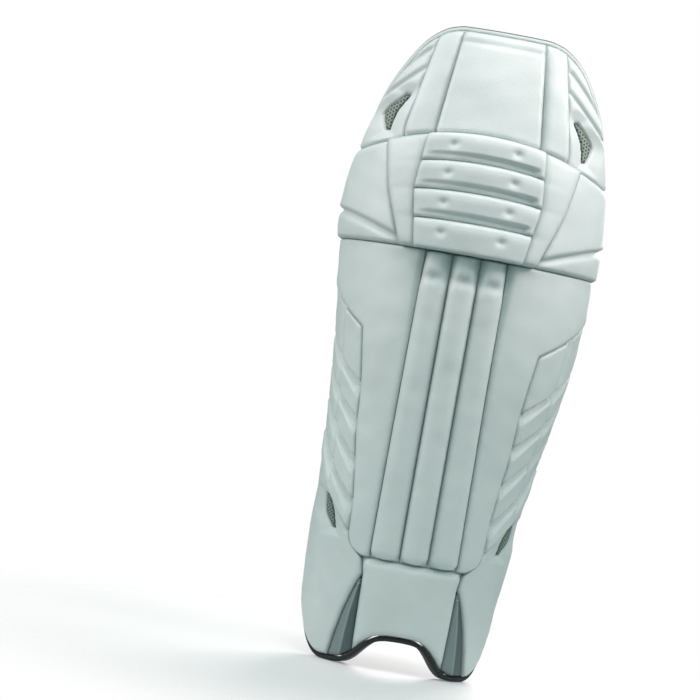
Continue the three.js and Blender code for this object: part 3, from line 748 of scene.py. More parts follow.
class PAD_OT_knee_section(bpy.types.Operator):
    """Make the knee section: four rolls, the strips beside them and the wings"""
    bl_idname = "pad.knee_section"
    bl_label = "Knee section"

    def execute(self, context):
        skirt = level(SKIRT)
        for number in range(4):
            low, high = ROLL_BOUNDS[3 - number:5 - number]
            patch = Patch(between(skirt, knee_seam, low), between(skirt, knee_seam, high),
                          mirrored("strip_inner"), seam("strip_inner"))
            rows = ((0, 32.5), (0.4, 33.2), (0.7, 33.8), (1, 32.5))
            dents = (tufts,) if number == 3 else (tufts, gutter)
            sew(f"knee_roll_{number + 1}", "white_leather", patch,
                pillow(27, rows, Soft(5, 5, 3, 4), *dents), cell=1.6)
        for side, word in as_sides():
            strip = Patch(skirt, knee_seam, seam("strip_inner"), seam("strip_outer"), side)
            sew(f"knee_strip_{word}", "white_leather", strip,
                pillow(20, ((0, 25), (0.1, 26.5), (0.7, 26), (1, 23)), Soft(6, 6, 5, 7), roll_pulls))
            wing = Patch(skirt, knee_seam, seam("strip_outer"), rear_edge, side)
            sew(f"knee_wing_{word}", "white_leather", wing,
                pillow(14, ((0, 19), (0.15, 20), (0.6, 19), (1, 17)), Soft(6, 6, 5, 7), tuck_crease),
                cell=2.0)
        return {"FINISHED"}


# Dent below the head of a cane: its height, its pit, and where the head begins to narrow
DENT_Z = 415
DENT_WIDE = 6.0
DENT_DEEP = 1.3
PIT_SHARE = 0.55
PIT_WIDE = 0.3
PIT_DEEP = 1.8
HEAD_Z = 400
HEAD_TALL = 36
HEAD_SIDE = 4.5
HEAD_DEEP = 7
HEAD_SHADE = 0.8


def skirt_dent(spot):
    """Shallow hollow across a cane under the knee section, and the narrowing of its head; the pit is
    painted dark as the knee section's shadow, and the narrowed head as shade between the canes.
    """
    mark = hollow(spot.z - DENT_Z, DENT_WIDE)
    pit = mark * hollow(spot.across - PIT_SHARE, PIT_WIDE)
    head = ramp(spot.z, HEAD_Z, HEAD_TALL) * hollow(np.minimum(spot.d_in, spot.d_out), HEAD_SIDE)
    return DENT_DEEP * mark + PIT_DEEP * pit + HEAD_DEEP * head, np.maximum(pit, HEAD_SHADE * head)


class PAD_OT_canes(bpy.types.Operator):
    """Make the three upright canes over the shin"""
    bl_idname = "pad.canes"
    bl_label = "Canes"

    def execute(self, context):
        low, high = level(INSTEP_SEAM), level(SKIRT - SEWN_GAP)
        spans = (
            ("cane_1", seam("cane_inner"), seam("cane_outer"), -1),
            ("cane_2", mirrored("cane_inner"), seam("cane_inner"), 1),
            ("cane_3", seam("cane_inner"), seam("cane_outer"), 1),
        )
        for node, inner, outer, side in spans:
            sew(node, "white_leather", Patch(low, high, inner, outer, side),
                pillow(10, ((0, 21), (0.1, 22), (0.9, 22.5), (1, 21)), Soft(14, 14, 9, 0.8), skirt_dent),
                cell=1.7)
        return {"FINISHED"}


# Ribs of a shin wing: shares of its height between them, and the share of its width at the split
RIB_BOUNDS = (0, 0.13, 0.307, 0.493, 0.684, 1)
RIB_SPLIT = 0.44
RIB_DEEP = 8
RIB_SHADE = 0.5
RIB_FOOT = 1.4
CHAMFER = 13
CHAMFER_LOSS = 8
SPLIT_DEEP = 3.4
SPLIT_CHAMFER = 7
SPLIT_SIDE = 1.6
SPLIT_SHADE = 0.2
BLOCK_DROP = 1.3
BLOCK_ONSET = 3


def ribs(spot):
    """Grooves between the slanted ribs of a shin wing, and the step between its two blocks."""
    tall = spot.d_low + spot.d_high
    way = spot.d_low / tall
    wide = (spot.across - RIB_SPLIT) * (spot.d_in + spot.d_out)
    in_block = np.where(wide < 0, spot.across, spot.across - RIB_SPLIT) / RIB_SPLIT
    slope = CHAMFER - CHAMFER_LOSS * in_block
    mark = 0
    for share in RIB_BOUNDS[1:-1]:
        gap = (way - share) * tall
        mark = np.maximum(mark, np.where(gap > 0, hollow(gap, RIB_FOOT), np.clip(1 + gap / slope, 0, 1)))
    above_foot = way > RIB_BOUNDS[1]
    split = np.where(wide > 0, np.clip(1 - wide / SPLIT_CHAMFER, 0, 1), hollow(wide, SPLIT_SIDE))
    split = split * above_foot
    lower_block = BLOCK_DROP * ramp(wide, 0, BLOCK_ONSET) * above_foot
    depth = RIB_DEEP * mark + (SPLIT_DEEP * split + lower_block) * (1 - mark)
    return depth, np.maximum(RIB_SHADE * mark ** 6, SPLIT_SHADE * split)


def panel_outline(side):
    """Outline of a shin panel, whose flared top follows the line of the uppermost rib."""
    base = pillow(13, ((0, 16), (0.2, 16.5), (0.8, 16.5), (1, 15.5)), Soft(5, 5, 8, 0.8))
    flare = rib_line(WING_TOP)

    def outline(spot):
        start = crease_turn(np.float64(WING_TOP[0]), side)
        gap = np.where(spot.turn > start, spot.z - flare(spot.turn, side), spot.d_out)
        edge = (read(REAR, spot.z) - spot.turn) * ARC_PER_DEGREE
        flared = np.minimum(np.maximum(gap, 0), np.where(spot.turn > start, edge, spot.d_out))
        return base(spot._replace(d_out=np.where(spot.z > WING_TOP[0], flared, spot.d_out)))

    return outline


class PAD_OT_shin_sides(bpy.types.Operator):
    """Make the smooth panels beside the canes and the ribbed wings"""
    bl_idname = "pad.shin_sides"
    bl_label = "Shin sides"

    def execute(self, context):
        for side, word in as_sides():
            panel = Patch(level(INSTEP_SEAM), level(SKIRT - SEWN_GAP),
                          seam("cane_outer"), crease_flare, side)
            sew(f"shin_panel_{word}", "white_leather", panel, panel_outline(side), cell=2.0)
            wing = Patch(rib_line(WING_FOOT), rib_line(WING_TOP), seam("crease"), rear_edge, side)
            sew(f"shin_wing_{word}", "white_leather", wing,
                pillow(11.5, ((0, 16.5), (1, 16.5)), Soft(4, 6, 4, 3), ribs), cell=1.6)
        return {"FINISHED"}


# Wedges: their top, the share of their width at the ridge, and the fall of the two flats
INSERT_TOP = 92
RIDGE_SHARE = 0.45
RIDGE_SOFT = 3
FLAT_FALL = 2.4
FLAT_WIDE = 12


def ridge_gap(spot):
    return (spot.across - RIDGE_SHARE) * (spot.d_in + spot.d_out)


def facet(spot):
    """Ridge that parts the two flats of a wedge."""
    gap = ridge_gap(spot)
    return FLAT_FALL * ramp(np.abs(gap), 0, FLAT_WIDE), 0 * gap


def facet_painted_light(side):
    """Painted light on a wedge's two flats of one grey: the flat that looks to the left is painted lighter.
    """
    def tone(spot):
        t = np.clip(ridge_gap(spot) / RIDGE_SOFT + 0.5, 0, 1)
        return t if side > 0 else 1 - t
    return tone


class PAD_OT_foot_end(bpy.types.Operator):
    """Make the foot end: instep, wedges beside it, lower wings and their vents"""
    bl_idname = "pad.foot_end"
    bl_label = "Foot end"

    def execute(self, context):
        instep = Patch(above_binding, level(INSTEP_SEAM), mirrored("instep_outer"), seam("instep_outer"))
        sew("instep_panel", "white_leather", instep,
            pillow(9, ((0, 14), (0.4, 16), (0.9, 16.5), (1, 16)), Soft(10, 10, 6, 11)))
        for side, word in as_sides():
            wing = Patch(above_binding, rib_line(WING_FOOT), seam("ankle_inner"), rear_edge, side)
            outline = pillow(10.5, ((0, 13), (0.35, 14), (0.9, 14), (1, 13)), Soft(5, 6, 5, 5))
            sew(f"ankle_wing_{word}", "white_leather", wing, with_pocket(outline, ANKLE_VENT), cell=1.5)
            grille(f"ankle_vent_{word}", ANKLE_VENT, side)
            wedge = Patch(above_binding, level(INSERT_TOP), seam("instep_outer"), seam("ankle_inner"), side)
            sew(f"ankle_insert_{word}", "grey_insert", wedge,
                pillow(8, ((0, 12), (0.5, 12.5), (1, 12)), Soft(3, 3, 3, 3), facet, lumps=0.1), cell=1.2,
                tone=facet_painted_light(side))
        return {"FINISHED"}


# Bindings, in millimetres outwards from the middle surface, and the rounding of their edges
BINDING_BACK = -7
BINDING_FRONT = 10
FRONT_BULGE = 2.6
BACK_BULGE = 2.2
BULGE_SIDE = 1.9
BULGE_END = 2.5
BINDING_SHADE = 0.6
BINDING_SHADE_REACH = 1.2


def bind(node, low, high, rolled=None):
    """Tape folded round a bound edge; up to the share that is rolled over it is leather."""
    def faces(spot):
        near = np.minimum(spot.d_low, spot.d_high)
        bulge = roll(near, BULGE_SIDE) * roll(np.minimum(spot.d_in, spot.d_out), BULGE_END)
        front = BINDING_FRONT - FRONT_BULGE + FRONT_BULGE * bulge
        back = BINDING_BACK + BACK_BULGE - BACK_BULGE * bulge
        return front, back, BINDING_SHADE * fade(near, BINDING_SHADE_REACH)

    def tone(spot):
        return np.where(spot.up < rolled, 1.0, 0.0)

    patch = Patch(low, high, left_rear_edge, rear_edge)
    bm = grid_block(190, 6)
    lay(bm, patch, faces, tone if rolled else None)
    piece = add_piece(bm, "dressed_" + node, "edge_binding", node)
    SEWN[node] = (patch, lambda spot: (BINDING_FRONT + 0 * spot.z, 0 * spot.z), 1, piece)


class PAD_OT_bindings(bpy.types.Operator):
    """Make the tapes that bind the upper and lower edges"""
    bl_idname = "pad.bindings"
    bl_label = "Bindings"

    def execute(self, context):
        bind("bottom_binding", bottom_edge, binding_top)
        bind("top_binding", binding_foot, top_edge, rolled=0.8)
        return {"FINISHED"}


# Widths of the bands of the thigh lining, from the centre line, in millimetres along the cloth
THIGH_BANDS = (44, 62, 66, 92)
QUILT_WIDE = 1.8
QUILT_DEEP = 1.7
QUILT_SHADE = 0.55


def band_grooves(spot):
    """Quilted lines between the bands of the thigh lining."""
    along = np.abs(spot.turn) * ARC_PER_DEGREE
    mark = 0
    for width in THIGH_BANDS:
        mark = np.maximum(mark, hollow(along - width, QUILT_WIDE))
    return QUILT_DEEP * mark, QUILT_SHADE * mark


CUP_LINE = 7
CUP_LINE_WIDE = 1.6
CUP_LINE_DEEP = 1.2
CUP_LINE_SHADE = 0.5


def cup_line(spot):
    """Sewn line just inside the edge of the knee cup, which leaves a round edge outside it."""
    mark = hollow(edge_gap(spot) - CUP_LINE, CUP_LINE_WIDE)
    return CUP_LINE_DEEP * mark, CUP_LINE_SHADE * mark


# Pale piping of a knee bolster: its distance from the edge and its half width
PIPING_LINE = 2.2
PIPING_HALF = 1.7


def piping(spot):
    """Tone of the pale piping just below the upper edge of a knee bolster and beside the cup."""
    return np.clip(PIPING_HALF - np.abs(np.minimum(spot.d_high, spot.d_in) - PIPING_LINE), 0, 1)


# Knee bolster: shares of its width at the fattest place and on to its foot, and its thickness by height
BOLSTER_PEAK = 0.36
BOLSTER_SPREAD = 0.36
BOLSTER_FULL = ((0, 0.12, 0.5, 0.88, 1), (9, 16, 17, 14, 8))
BOLSTER_SEAM = 4.4
BOLSTER_RISE = 0.6
BOLSTER_END = 9
BOLSTER_SHADE = 3
BOLSTER_LUMPS = 0.4
BOLSTER_LUMP_SIZE = 40
BOLSTER_SEED = 5
FOOT_WIDE = 2
FOOT_DEEP = 0.7
FOOT_SHADE = 0.6


def knee_bolster_outline(spot):
    """Outline of a knee bolster: a fat roll beside the cup that thins to the rear edge."""
    swell = np.sqrt(np.clip(1 - ((spot.across - BOLSTER_PEAK) / BOLSTER_SPREAD) ** 2, 0, 1))
    full = read(BOLSTER_FULL, spot.up)
    ends = roll(spot.d_low, BOLSTER_END) * roll(spot.d_high, BOLSTER_END)
    along = spot.turn * ARC_PER_DEGREE
    thick = BOLSTER_SEAM + BOLSTER_RISE * ends + (full - LINING_EDGE) * swell * swell * ends
    thick = thick + BOLSTER_LUMPS * swell * drift(along, spot.z, BOLSTER_LUMP_SIZE, BOLSTER_SEED)
    shade = fade(edge_gap(spot), BOLSTER_SHADE)
    edge = (spot.across - BOLSTER_PEAK - BOLSTER_SPREAD) * (spot.d_in + spot.d_out)
    foot = hollow(edge, FOOT_WIDE)
    return thick - FOOT_DEEP * foot, np.maximum(shade, FOOT_SHADE * foot)


class PAD_OT_upper_lining(bpy.types.Operator):
    """Make the lining behind the thigh and the knee, with its two bolsters"""
    bl_idname = "pad.upper_lining"
    bl_label = "Thigh and knee lining"

    def execute(self, context):
        thigh = Patch(knee_seam, below_binding, left_rear_edge, rear_edge, 1, LINING_REACH)
        sew("thigh_lining", "thigh_cloth", thigh,
            pillow(5, ((0, 8), (0.15, 9), (0.6, 9), (1, 7)), Soft(6, 6, 8, 6), band_grooves), lining=True)
        skirt = level(SKIRT)
        cup = Patch(skirt, knee_seam, mirrored("cup_outer"), seam("cup_outer"), 1, LINING_REACH)
        sew("knee_cup", "silver_mesh", cup,
            pillow(6, ((0, 9), (0.2, 10), (0.8, 10), (1, 9)), Soft(8, 8, 8, 8), cup_line), lining=True)
        for side, word in as_sides():
            bolster = Patch(skirt, knee_seam, seam("cup_outer"), rear_edge, side, LINING_REACH)
            sew(f"knee_bolster_{word}", "black_mesh", bolster, knee_bolster_outline, cell=1.4, lining=True,
                tone=piping)
        return {"FINISHED"}


PLATE_EDGE = 0.3
PLATE_SHOULDER = 1.5
PLATE_SHADE = 0.7
PLATE_SHADE_REACH = 1


def plate(node, slot, patch, thick, columns, rows):
    """Thin applied patch that lies on the lining."""
    seat = -LINING_EDGE - SEAM_GAP

    def faces(spot):
        near = edge_gap(spot)
        front = seat - PLATE_EDGE - (thick - PLATE_EDGE) * roll(near, PLATE_SHOULDER)
        return front, seat, PLATE_SHADE * fade(near, PLATE_SHADE_REACH)

    bm = grid_block(columns, rows)
    lay(bm, patch, faces)
    add_piece(bm, "dressed_" + node, slot, node)


class PAD_OT_calf_lining(bpy.types.Operator):
    """Make the lining behind the shin: channel, stripe, bolsters, trims and mesh"""
    bl_idname = "pad.calf_lining"
    bl_label = "Calf lining"

    def execute(self, context):
        low, high = level(CALF_FOOT), level(SKIRT - LAYER_GAP)
        even = ((0, LINING_EDGE), (1, LINING_EDGE))
        channel = Patch(low, high, mirrored("channel_outer"), seam("channel_outer"), 1, LINING_REACH)
        sew("centre_channel", "slate_cloth", channel,
            pillow(4.2, even, Soft(3, 3, 3, 3), lumps=0.1), lining=True, fill=0.3)
        stripe = Patch(low, high, mirrored("stripe_outer"), seam("stripe_outer"), 1, LINING_REACH)
        plate("centre_stripe", "tab_leather", stripe, 1.4, 12, 120)
        for side, word in as_sides():
            bolster = Patch(low, high, seam("channel_outer"), seam("trim_inner"), side, LINING_REACH)
            sew(f"calf_bolster_{word}", "black_mesh", bolster,
                pillow(6, ((0, 17), (0.25, 18), (0.75, 18), (1, 16)), Soft(20, 20, 16, 16)),
                cell=2.2, lining=True)
            trim = Patch(low, high, seam("trim_inner"), seam("trim_outer"), side, LINING_REACH)
            sew(f"side_trim_{word}", "silver_mesh", trim,
                pillow(4, ((0, 6), (1, 6)), Soft(4, 4, 3, 3), lumps=0), cell=1.6, lining=True, fill=0.5,
                look="trim_cloth")
            mesh = Patch(low, high, seam("trim_outer"), rear_edge, side, LINING_REACH)
            sew(f"side_mesh_{word}", "silver_mesh", mesh,
                pillow(4, even, Soft(3, 3, 3, 3), lumps=0.1), lining=True, fill=0.3)
        return {"FINISHED"}


class PAD_OT_foot_lining(bpy.types.Operator):
    """Make the smooth lining of the foot end and the crescents on it"""
    bl_idname = "pad.foot_lining"
    bl_label = "Foot lining"

    def execute(self, context):
        high = level(CALF_FOOT - LAYER_GAP)
        even = ((0, LINING_EDGE), (1, LINING_EDGE))
        outline = pillow(3.8, even, Soft(4, 4, 4, 4), lumps=0.2)
        centre = Patch(above_binding, high, mirrored("heel_inner"), seam("heel_inner"), 1, LINING_REACH)
        sew("ankle_lining_centre", "black_leather", centre, outline, lining=True, fill=0.3)
        for side, word in as_sides():
            flank = Patch(above_binding, high, seam("heel_inner"), rear_edge, side, LINING_REACH)
            sew(f"ankle_lining_{word}", "black_leather", flank, outline, lining=True, fill=0.3)
            plate(f"ankle_trim_{word}", "silver_mesh", row_patch(CRESCENT, side, LINING_REACH), 1.2, 14, 50)
        return {"FINISHED"}


# Straps: their heights, and across the rear the ends of their tabs and webbing
Strap = namedtuple("Strap", "low high tip root web_from web_to")
STRAPS = {
    "knee": Strap(440, 482, 118, 30, -96, 112),
    "calf": Strap(296, 353, 92, -44, -68, 84),
    "ankle": Strap(115, 172, 72, -62, -80, 64),
}

# Edges of a pull tab from tip to root: shares of the strap's height below its top
TAB_LOW = smooth_curve(
    (0, 0.02, 0.13, 0.17, 0.36, 0.41, 0.5, 0.6, 0.66, 0.71, 0.77, 0.84, 0.89, 0.95, 1),
    (0.12, 0.26, 0.86, 0.95, 0.95, 0.9, 0.7, 0.47, 0.385, 0.37, 0.42, 0.51, 0.53, 0.5, 0.41), 0.004)
TAB_HIGH = ((0, 0.9, 0.93, 1), (0, 0, 0.04, 0.33))

STRAP_SIDE_SHARE = 0.06
STRAP_SEAT = -LINING_EDGE - SEAM_GAP - STRAP_THICK
WEB_THICK = 1.2
WEB_MARGIN = 3
WEB_BACK = STRAP_THICK + SEAM_GAP
TAB_THICK = 2
TAB_TOP = 1.5
TAB_BACK = WEB_BACK + WEB_THICK + SEAM_GAP
OUTWARDS = 10
BAND_RIM = 0.45
BAND_SHADE = 0.8
BAND_SHADE_REACH = 1.1
PLAN_STEP = 0.002


def middle(strap):
    return (strap.low + strap.high) / 2


def strap_plan(share, z):
    """Plan of a strap about the pad's own axis: along each wing, then bowed across the rear."""
    side = np.where(share < 0.5, -1, 1)
    near = np.where(side < 0, share, 1 - share)
    grip = 90 - STRAP_GRIP * (1 - np.minimum(near / STRAP_SIDE_SHARE, 1))
    held_x, held_y = pad_plan(side * grip, z, STRAP_SEAT)
    edge_x, edge_y = pad_plan(side * 90.0, z, STRAP_SEAT)
    swing = np.maximum(near - STRAP_SIDE_SHARE, 0) / (0.5 - STRAP_SIDE_SHARE) * math.pi / 2
    on_wing = near < STRAP_SIDE_SHARE
    x = np.where(on_wing, held_x, edge_x * np.cos(swing))
    y = np.where(on_wing, held_y, edge_y + STRAP_BOW * np.sin(swing))
    return x, y


def strap_share(x, z):
    """Share along a strap at a distance across the rear."""
    edge_x, _ = pad_plan(np.where(x < 0, -90.0, 90.0), z, STRAP_SEAT)
    swing = np.arccos(np.clip(np.abs(x / edge_x), 0, 1)) / (math.pi / 2)
    near = STRAP_SIDE_SHARE + swing * (0.5 - STRAP_SIDE_SHARE)
    return np.where(x < 0, near, 1 - near)


def strap_points(share, z, offset):
    """Points of a strap, moved off its plan by a distance."""
    x, y = strap_plan(share, z)
    x0, y0 = strap_plan(np.maximum(share - PLAN_STEP, 0), z)
    x1, y1 = strap_plan(np.minimum(share + PLAN_STEP, 1), z)
    size = np.hypot(x1 - x0, y1 - y0)
    return in_frame(x - offset * (y1 - y0) / size, y + offset * (x1 - x0) / size, z)


def strap_length(strap):
    """Shares along a strap and the lengths to them, in millimetres."""
    share = np.linspace(0, 1, 401)
    x, y = strap_plan(share, np.full_like(share, middle(strap)))
    return share, np.concatenate(([0], np.cumsum(np.hypot(np.diff(x), np.diff(y)))))


def band(node, slot, strap, shares, lines, offsets, cells, edge):
    """Flat band that follows a strap between two heights, with rounded edges."""
    bm = grid_block(*cells)
    along, up, through = shares_of(bm)
    share = shares(along)
    low, high = lines(along)
    z = low + (high - low) * up
    length = np.interp(share, *strap_length(strap))
    start, end = np.interp(shares(np.array([0.0, 1.0])), *strap_length(strap))
    ends = np.minimum(np.abs(length - start), np.abs(end - length))
    near = np.minimum(np.minimum(z - low, high - z), ends)
    core = (offsets[0] + offsets[1]) / 2
    half = (offsets[1] - offsets[0]) / 2 * (BAND_RIM + (1 - BAND_RIM) * roll(near, edge))
    offset = np.where(through > 0.5, core + half, core - half)
    shade = BAND_SHADE * fade(near, BAND_SHADE_REACH)
    set_points(bm, strap_points(share, z, offset), shade, length, z)
    return add_piece(bm, "dressed_" + node, slot, node)


def tab_lines(strap):
    """Lower and upper edge of a pull tab, from its hooked root to its slanted tip."""
    def lines(along):
        tall = strap.high - strap.low
        low = strap.high - tall * np.interp(1 - along, *TAB_LOW)
        return low, strap.high - TAB_TOP - tall * np.interp(1 - along, *TAB_HIGH)
    return lines


def level_lines(strap, margin):
    """Lower and upper edge of a band of even height, inside the edges of its strap."""
    return lambda along: (strap.low + margin + 0 * along, strap.high - margin + 0 * along)


def strap_span(strap, start, end):
    """Shares along a strap between two distances across the rear."""
    return lambda along: strap_share(start + (end - start) * along, middle(strap))


def tab_span(strap):
    """Shares along a strap from the root of its tab to the tip."""
    return strap_span(strap, strap.root, strap.tip)


class PAD_OT_straps(bpy.types.Operator):
    """Make the three straps, the webbing sewn on them and their pull tabs"""
    bl_idname = "pad.straps"
    bl_label = "Straps"

    def execute(self, context):
        for word, strap in STRAPS.items():
            elastic = band(f"{word}_strap", "strap_elastic", strap, lambda along: along,
                           level_lines(strap, 0), (0, STRAP_THICK), (220, 16), 1.4)
            web_span = strap_span(strap, strap.web_from, strap.web_to)
            webbing = band(f"{word}_webbing", "strap_webbing", strap, web_span,
                           level_lines(strap, WEB_MARGIN), (WEB_BACK, WEB_BACK + WEB_THICK), (150, 14), 0.8)
            start, end = np.interp(web_span(np.array([0.0, 1.0])), *strap_length(strap))
            band(f"{word}_tab", "tab_leather", strap, tab_span(strap), tab_lines(strap),
                 (TAB_BACK, TAB_BACK + TAB_THICK), (120, 18), 1.2)
        return {"FINISHED"}


Buckle = namedtuple("Buckle", "x width height rim thick")
BUCKLE = Buckle(-88, 30, 62, 5, 4)
BUCKLE_ROUND = 1.3
BAR_RADIUS = 1.1
BAR_ROUND = 0.3
BAR_HELD = 2
BAR_LIFT = 0.2
SHARP = 0.8


def round_edges(bm, radius, segments):
    """Rounds every sharp edge of a mesh."""
    sharp = [edge for edge in bm.edges if edge.calc_face_angle(0) > SHARP]
    bmesh.ops.bevel(bm, geom=sharp, offset=radius, offset_type="OFFSET", segments=segments, profile=0.5,
                    affect="EDGES", material=-1)


class PAD_OT_buckle(bpy.types.Operator):
    """Make the moulded loop with two windows and the steel bars through it"""
    bl_idname = "pad.buckle"
    bl_label = "Buckle"

    def execute(self, context):
        window = (BUCKLE.width - 3 * BUCKLE.rim) / 2
        tall = BUCKLE.height - 2 * BUCKLE.rim
        seat = self.seat(STRAPS["calf"]) @ Matrix.Scale(MM, 4)
        bm = self.loop(window, tall)
        bmesh.ops.transform(bm, matrix=seat, verts=bm.verts[:])
        add_piece(bm, "dressed_calf_buckle", "buckle_plastic", "calf_buckle")
        upright = Matrix.Rotation(math.pi / 2, 4, "X")
        for number, side in enumerate((-1, 1)):
            bm = bmesh.new()
            bmesh.ops.create_cone(bm, cap_ends=True, segments=20, radius1=BAR_RADIUS, radius2=BAR_RADIUS,
                                  depth=tall + BAR_HELD)
            round_edges(bm, BAR_ROUND, 2)
            place = Matrix.Translation((side * (window + BUCKLE.rim) / 2, 0, BAR_LIFT))
            bmesh.ops.transform(bm, matrix=seat @ place @ upright, verts=bm.verts[:])
            add_piece(bm, f"buckle_bar_{number + 1}", "buckle_plastic", look="buckle_steel")
        return {"FINISHED"}

    def loop(self, window, tall):
        """Flat loop with two windows and rounded edges, in millimetres."""
        rim = BUCKLE.rim
        across = np.cumsum((0, rim, window, rim, window, rim)) - BUCKLE.width / 2
        upright = np.cumsum((0, rim, tall, rim)) - BUCKLE.height / 2
        columns, rows = len(across) - 1, len(upright) - 1
        bm = bmesh.new()
        bmesh.ops.create_grid(bm, x_segments=columns, y_segments=rows, size=0.5)
        for vert in bm.verts:
            vert.co.x = across[round((vert.co.x + 0.5) * columns)]
            vert.co.y = upright[round((vert.co.y + 0.5) * rows)]
        centres = [(face, face.calc_center_median()) for face in bm.faces]
        openings = [face for face, at in centres
                    if abs(at.y) < tall / 2 and rim / 2 < abs(at.x) < rim / 2 + window]
        bmesh.ops.delete(bm, geom=openings, context="FACES")
        draw_out(bm, BUCKLE.thick)
        bmesh.ops.translate(bm, vec=(0, 0, -BUCKLE.thick / 2), verts=bm.verts[:])
        bmesh.ops.recalc_face_normals(bm, faces=bm.faces[:])
        round_edges(bm, BUCKLE_ROUND, 4)
        return bm

    def seat(self, strap):
        """Place of the buckle on the outer face of its strap."""
        mid = middle(strap)
        share = strap_share(np.float64(BUCKLE.x), mid)
        lift = WEB_BACK + BUCKLE.thick / 2
        at = Vector(strap_points(share, np.float64(mid), lift))
        low = Vector(strap_points(share, np.float64(strap.low), lift))
        high = Vector(strap_points(share, np.float64(strap.high), lift))
        out = Vector(strap_points(share, np.float64(mid), lift + OUTWARDS)) - at
        upright = (high - low).normalized()
        along = upright.cross(out).normalized()
        turned = Matrix((along, upright, along.cross(upright))).transposed().to_4x4()
        return Matrix.Translation(at) @ turned


# Cloth run of the padding, and how far its swelling is evened out
PUFF_FRAMES = 10
CLOTH_QUALITY = 4
COVER_STIFFNESS = 10
COVER_BENDING = 20
EVEN_ROUNDS = 36
STILL = 1e-7
TINY = 1e-9


class PAD_OT_padding(bpy.types.Operator):
    """Blow the padding up under its covers: a short cloth run with the seams and backs held"""
    bl_idname = "pad.padding"
    bl_label = "Padding"

    def execute(self, context):
        sizes = context.scene.pad_sizes
        for piece, held in PADDED:
            piece.vertex_groups.new(name="held").add(held, 1.0, "REPLACE")
            cloth = piece.modifiers.new("puff", "CLOTH")
            cloth.settings.quality = CLOTH_QUALITY
            cloth.settings.tension_stiffness = COVER_STIFFNESS
            cloth.settings.compression_stiffness = COVER_STIFFNESS
            cloth.settings.bending_stiffness = COVER_BENDING
            cloth.settings.use_pressure = True
            cloth.settings.uniform_pressure_force = sizes.pressure
            cloth.settings.shrink_min = -sizes.slack
            cloth.settings.effector_weights.gravity = 0
            cloth.settings.vertex_group_mass = "held"
            cloth.collision_settings.use_collision = False
            cloth.point_cache.frame_start = 1
            cloth.point_cache.frame_end = PUFF_FRAMES
        for number in range(1, PUFF_FRAMES + 1):
            context.scene.frame_set(number)
        graph = context.evaluated_depsgraph_get()
        blown = [self.points(piece.evaluated_get(graph).data) for piece, _ in PADDED]
        for (piece, _), swollen in zip(PADDED, blown):
            piece.modifiers.clear()
            piece.vertex_groups.clear()
            rest = self.points(piece.data)
            move = self.evened(piece.data, swollen - rest)
            size = np.maximum(np.linalg.norm(move, axis=1, keepdims=True), TINY)
            raised = rest + move * np.minimum(1, sizes.swell / size)
            piece.data.vertices.foreach_set("co", raised.ravel())
            piece.data.update()
        context.scene.frame_set(1)
        return {"FINISHED"}

    def evened(self, mesh, move):
        """Spreads the swelling over neighbouring points, so that it stays smooth."""
        ends = np.empty(len(mesh.edges) * 2, np.int32)
        mesh.edges.foreach_get("vertices", ends)
        first, second = ends.reshape(-1, 2).T
        count = np.bincount(ends, minlength=len(move))[:, None]
        still = np.linalg.norm(move, axis=1, keepdims=True) < STILL
        for _ in range(EVEN_ROUNDS):
            total = np.zeros_like(move)
            np.add.at(total, first, move[second])
            np.add.at(total, second, move[first])
            move = np.where(still, 0, (move + total / count) / 2)
        return move

    def points(self, mesh):
        flat = np.empty(len(mesh.vertices) * 3)
        mesh.vertices.foreach_get("co", flat)
        return flat.reshape(-1, 3)


# Stitches, in millimetres, and the samples that their paths are measured by
STITCH_PITCH = 4.6
STITCH_LENGTH = 3.4
STITCH_RADIUS = 0.42
STITCH_FLATNESS = 0.7
PATH_SAMPLES = 300
FACING_LIFT = 0.05
TAPE_LIFT = 0.1
TAB_SAMPLES = 240
TAB_INSET = 2.6
TAB_LEAST = 1.5


def stitch_row(bm, points, normals):
    """Row of short thread stitches laid along sampled points of a surface."""
    flat = STITCH_RADIUS * STITCH_FLATNESS
    shape = Matrix.Diagonal((STITCH_LENGTH / 2 * MM, STITCH_RADIUS * MM, flat * MM, 1))
    for k in range(len(points) - 1):
        start, end = Vector(points[k]), Vector(points[k + 1])
        along = (end - start).normalized()
        out = Vector(normals[k])
        out = (out - along * out.dot(along)).normalized()
        turned = Matrix((along, out.cross(along), out)).transposed().to_4x4()
        place = Matrix.Translation((start + end) / 2) @ turned @ shape
        bmesh.ops.create_uvsphere(bm, u_segments=6, v_segments=4, radius=1, matrix=place)


def even_steps(points, pitch):
    """Shares of a sampled path that part it into even steps of about a pitch, in metres."""
    steps = np.linalg.norm(np.diff(points, axis=0), axis=1)
    run = np.concatenate(([0], np.cumsum(steps)))
    count = max(2, round(run[-1] / pitch))
    return np.interp(np.linspace(0, run[-1], count + 1), run, np.linspace(0, 1, len(run)))


def facing_path(node, path, lift):
    """Points and outward directions along a path over a sewn piece, given by shares across and up."""
    patch, outline, sign, piece = SEWN[node]

    def sample(t):
        spot = patch.spot(*path(t))
        return patch.points(spot, sign * (outline(spot)[0] + 1))

    t = even_steps(sample(np.linspace(0, 1, PATH_SAMPLES)), STITCH_PITCH * MM)
    found = [piece.closest_point_on_mesh(Vector(point))[1:3] for point in sample(t).tolist()]
    return [at + out * lift * MM for at, out in found], [out for _, out in found]


def level_path(up, start=0.04, end=0.96):
    """Row across a piece, by shares of its width, at a share of its height."""
    return lambda t: (start + (end - start) * t, up + 0 * t)


def upright_path(across, start=0.04, end=0.96):
    """Row up a piece, by shares of its height, at a share of its width."""
    return lambda t: (across + 0 * t, start + (end - start) * t)


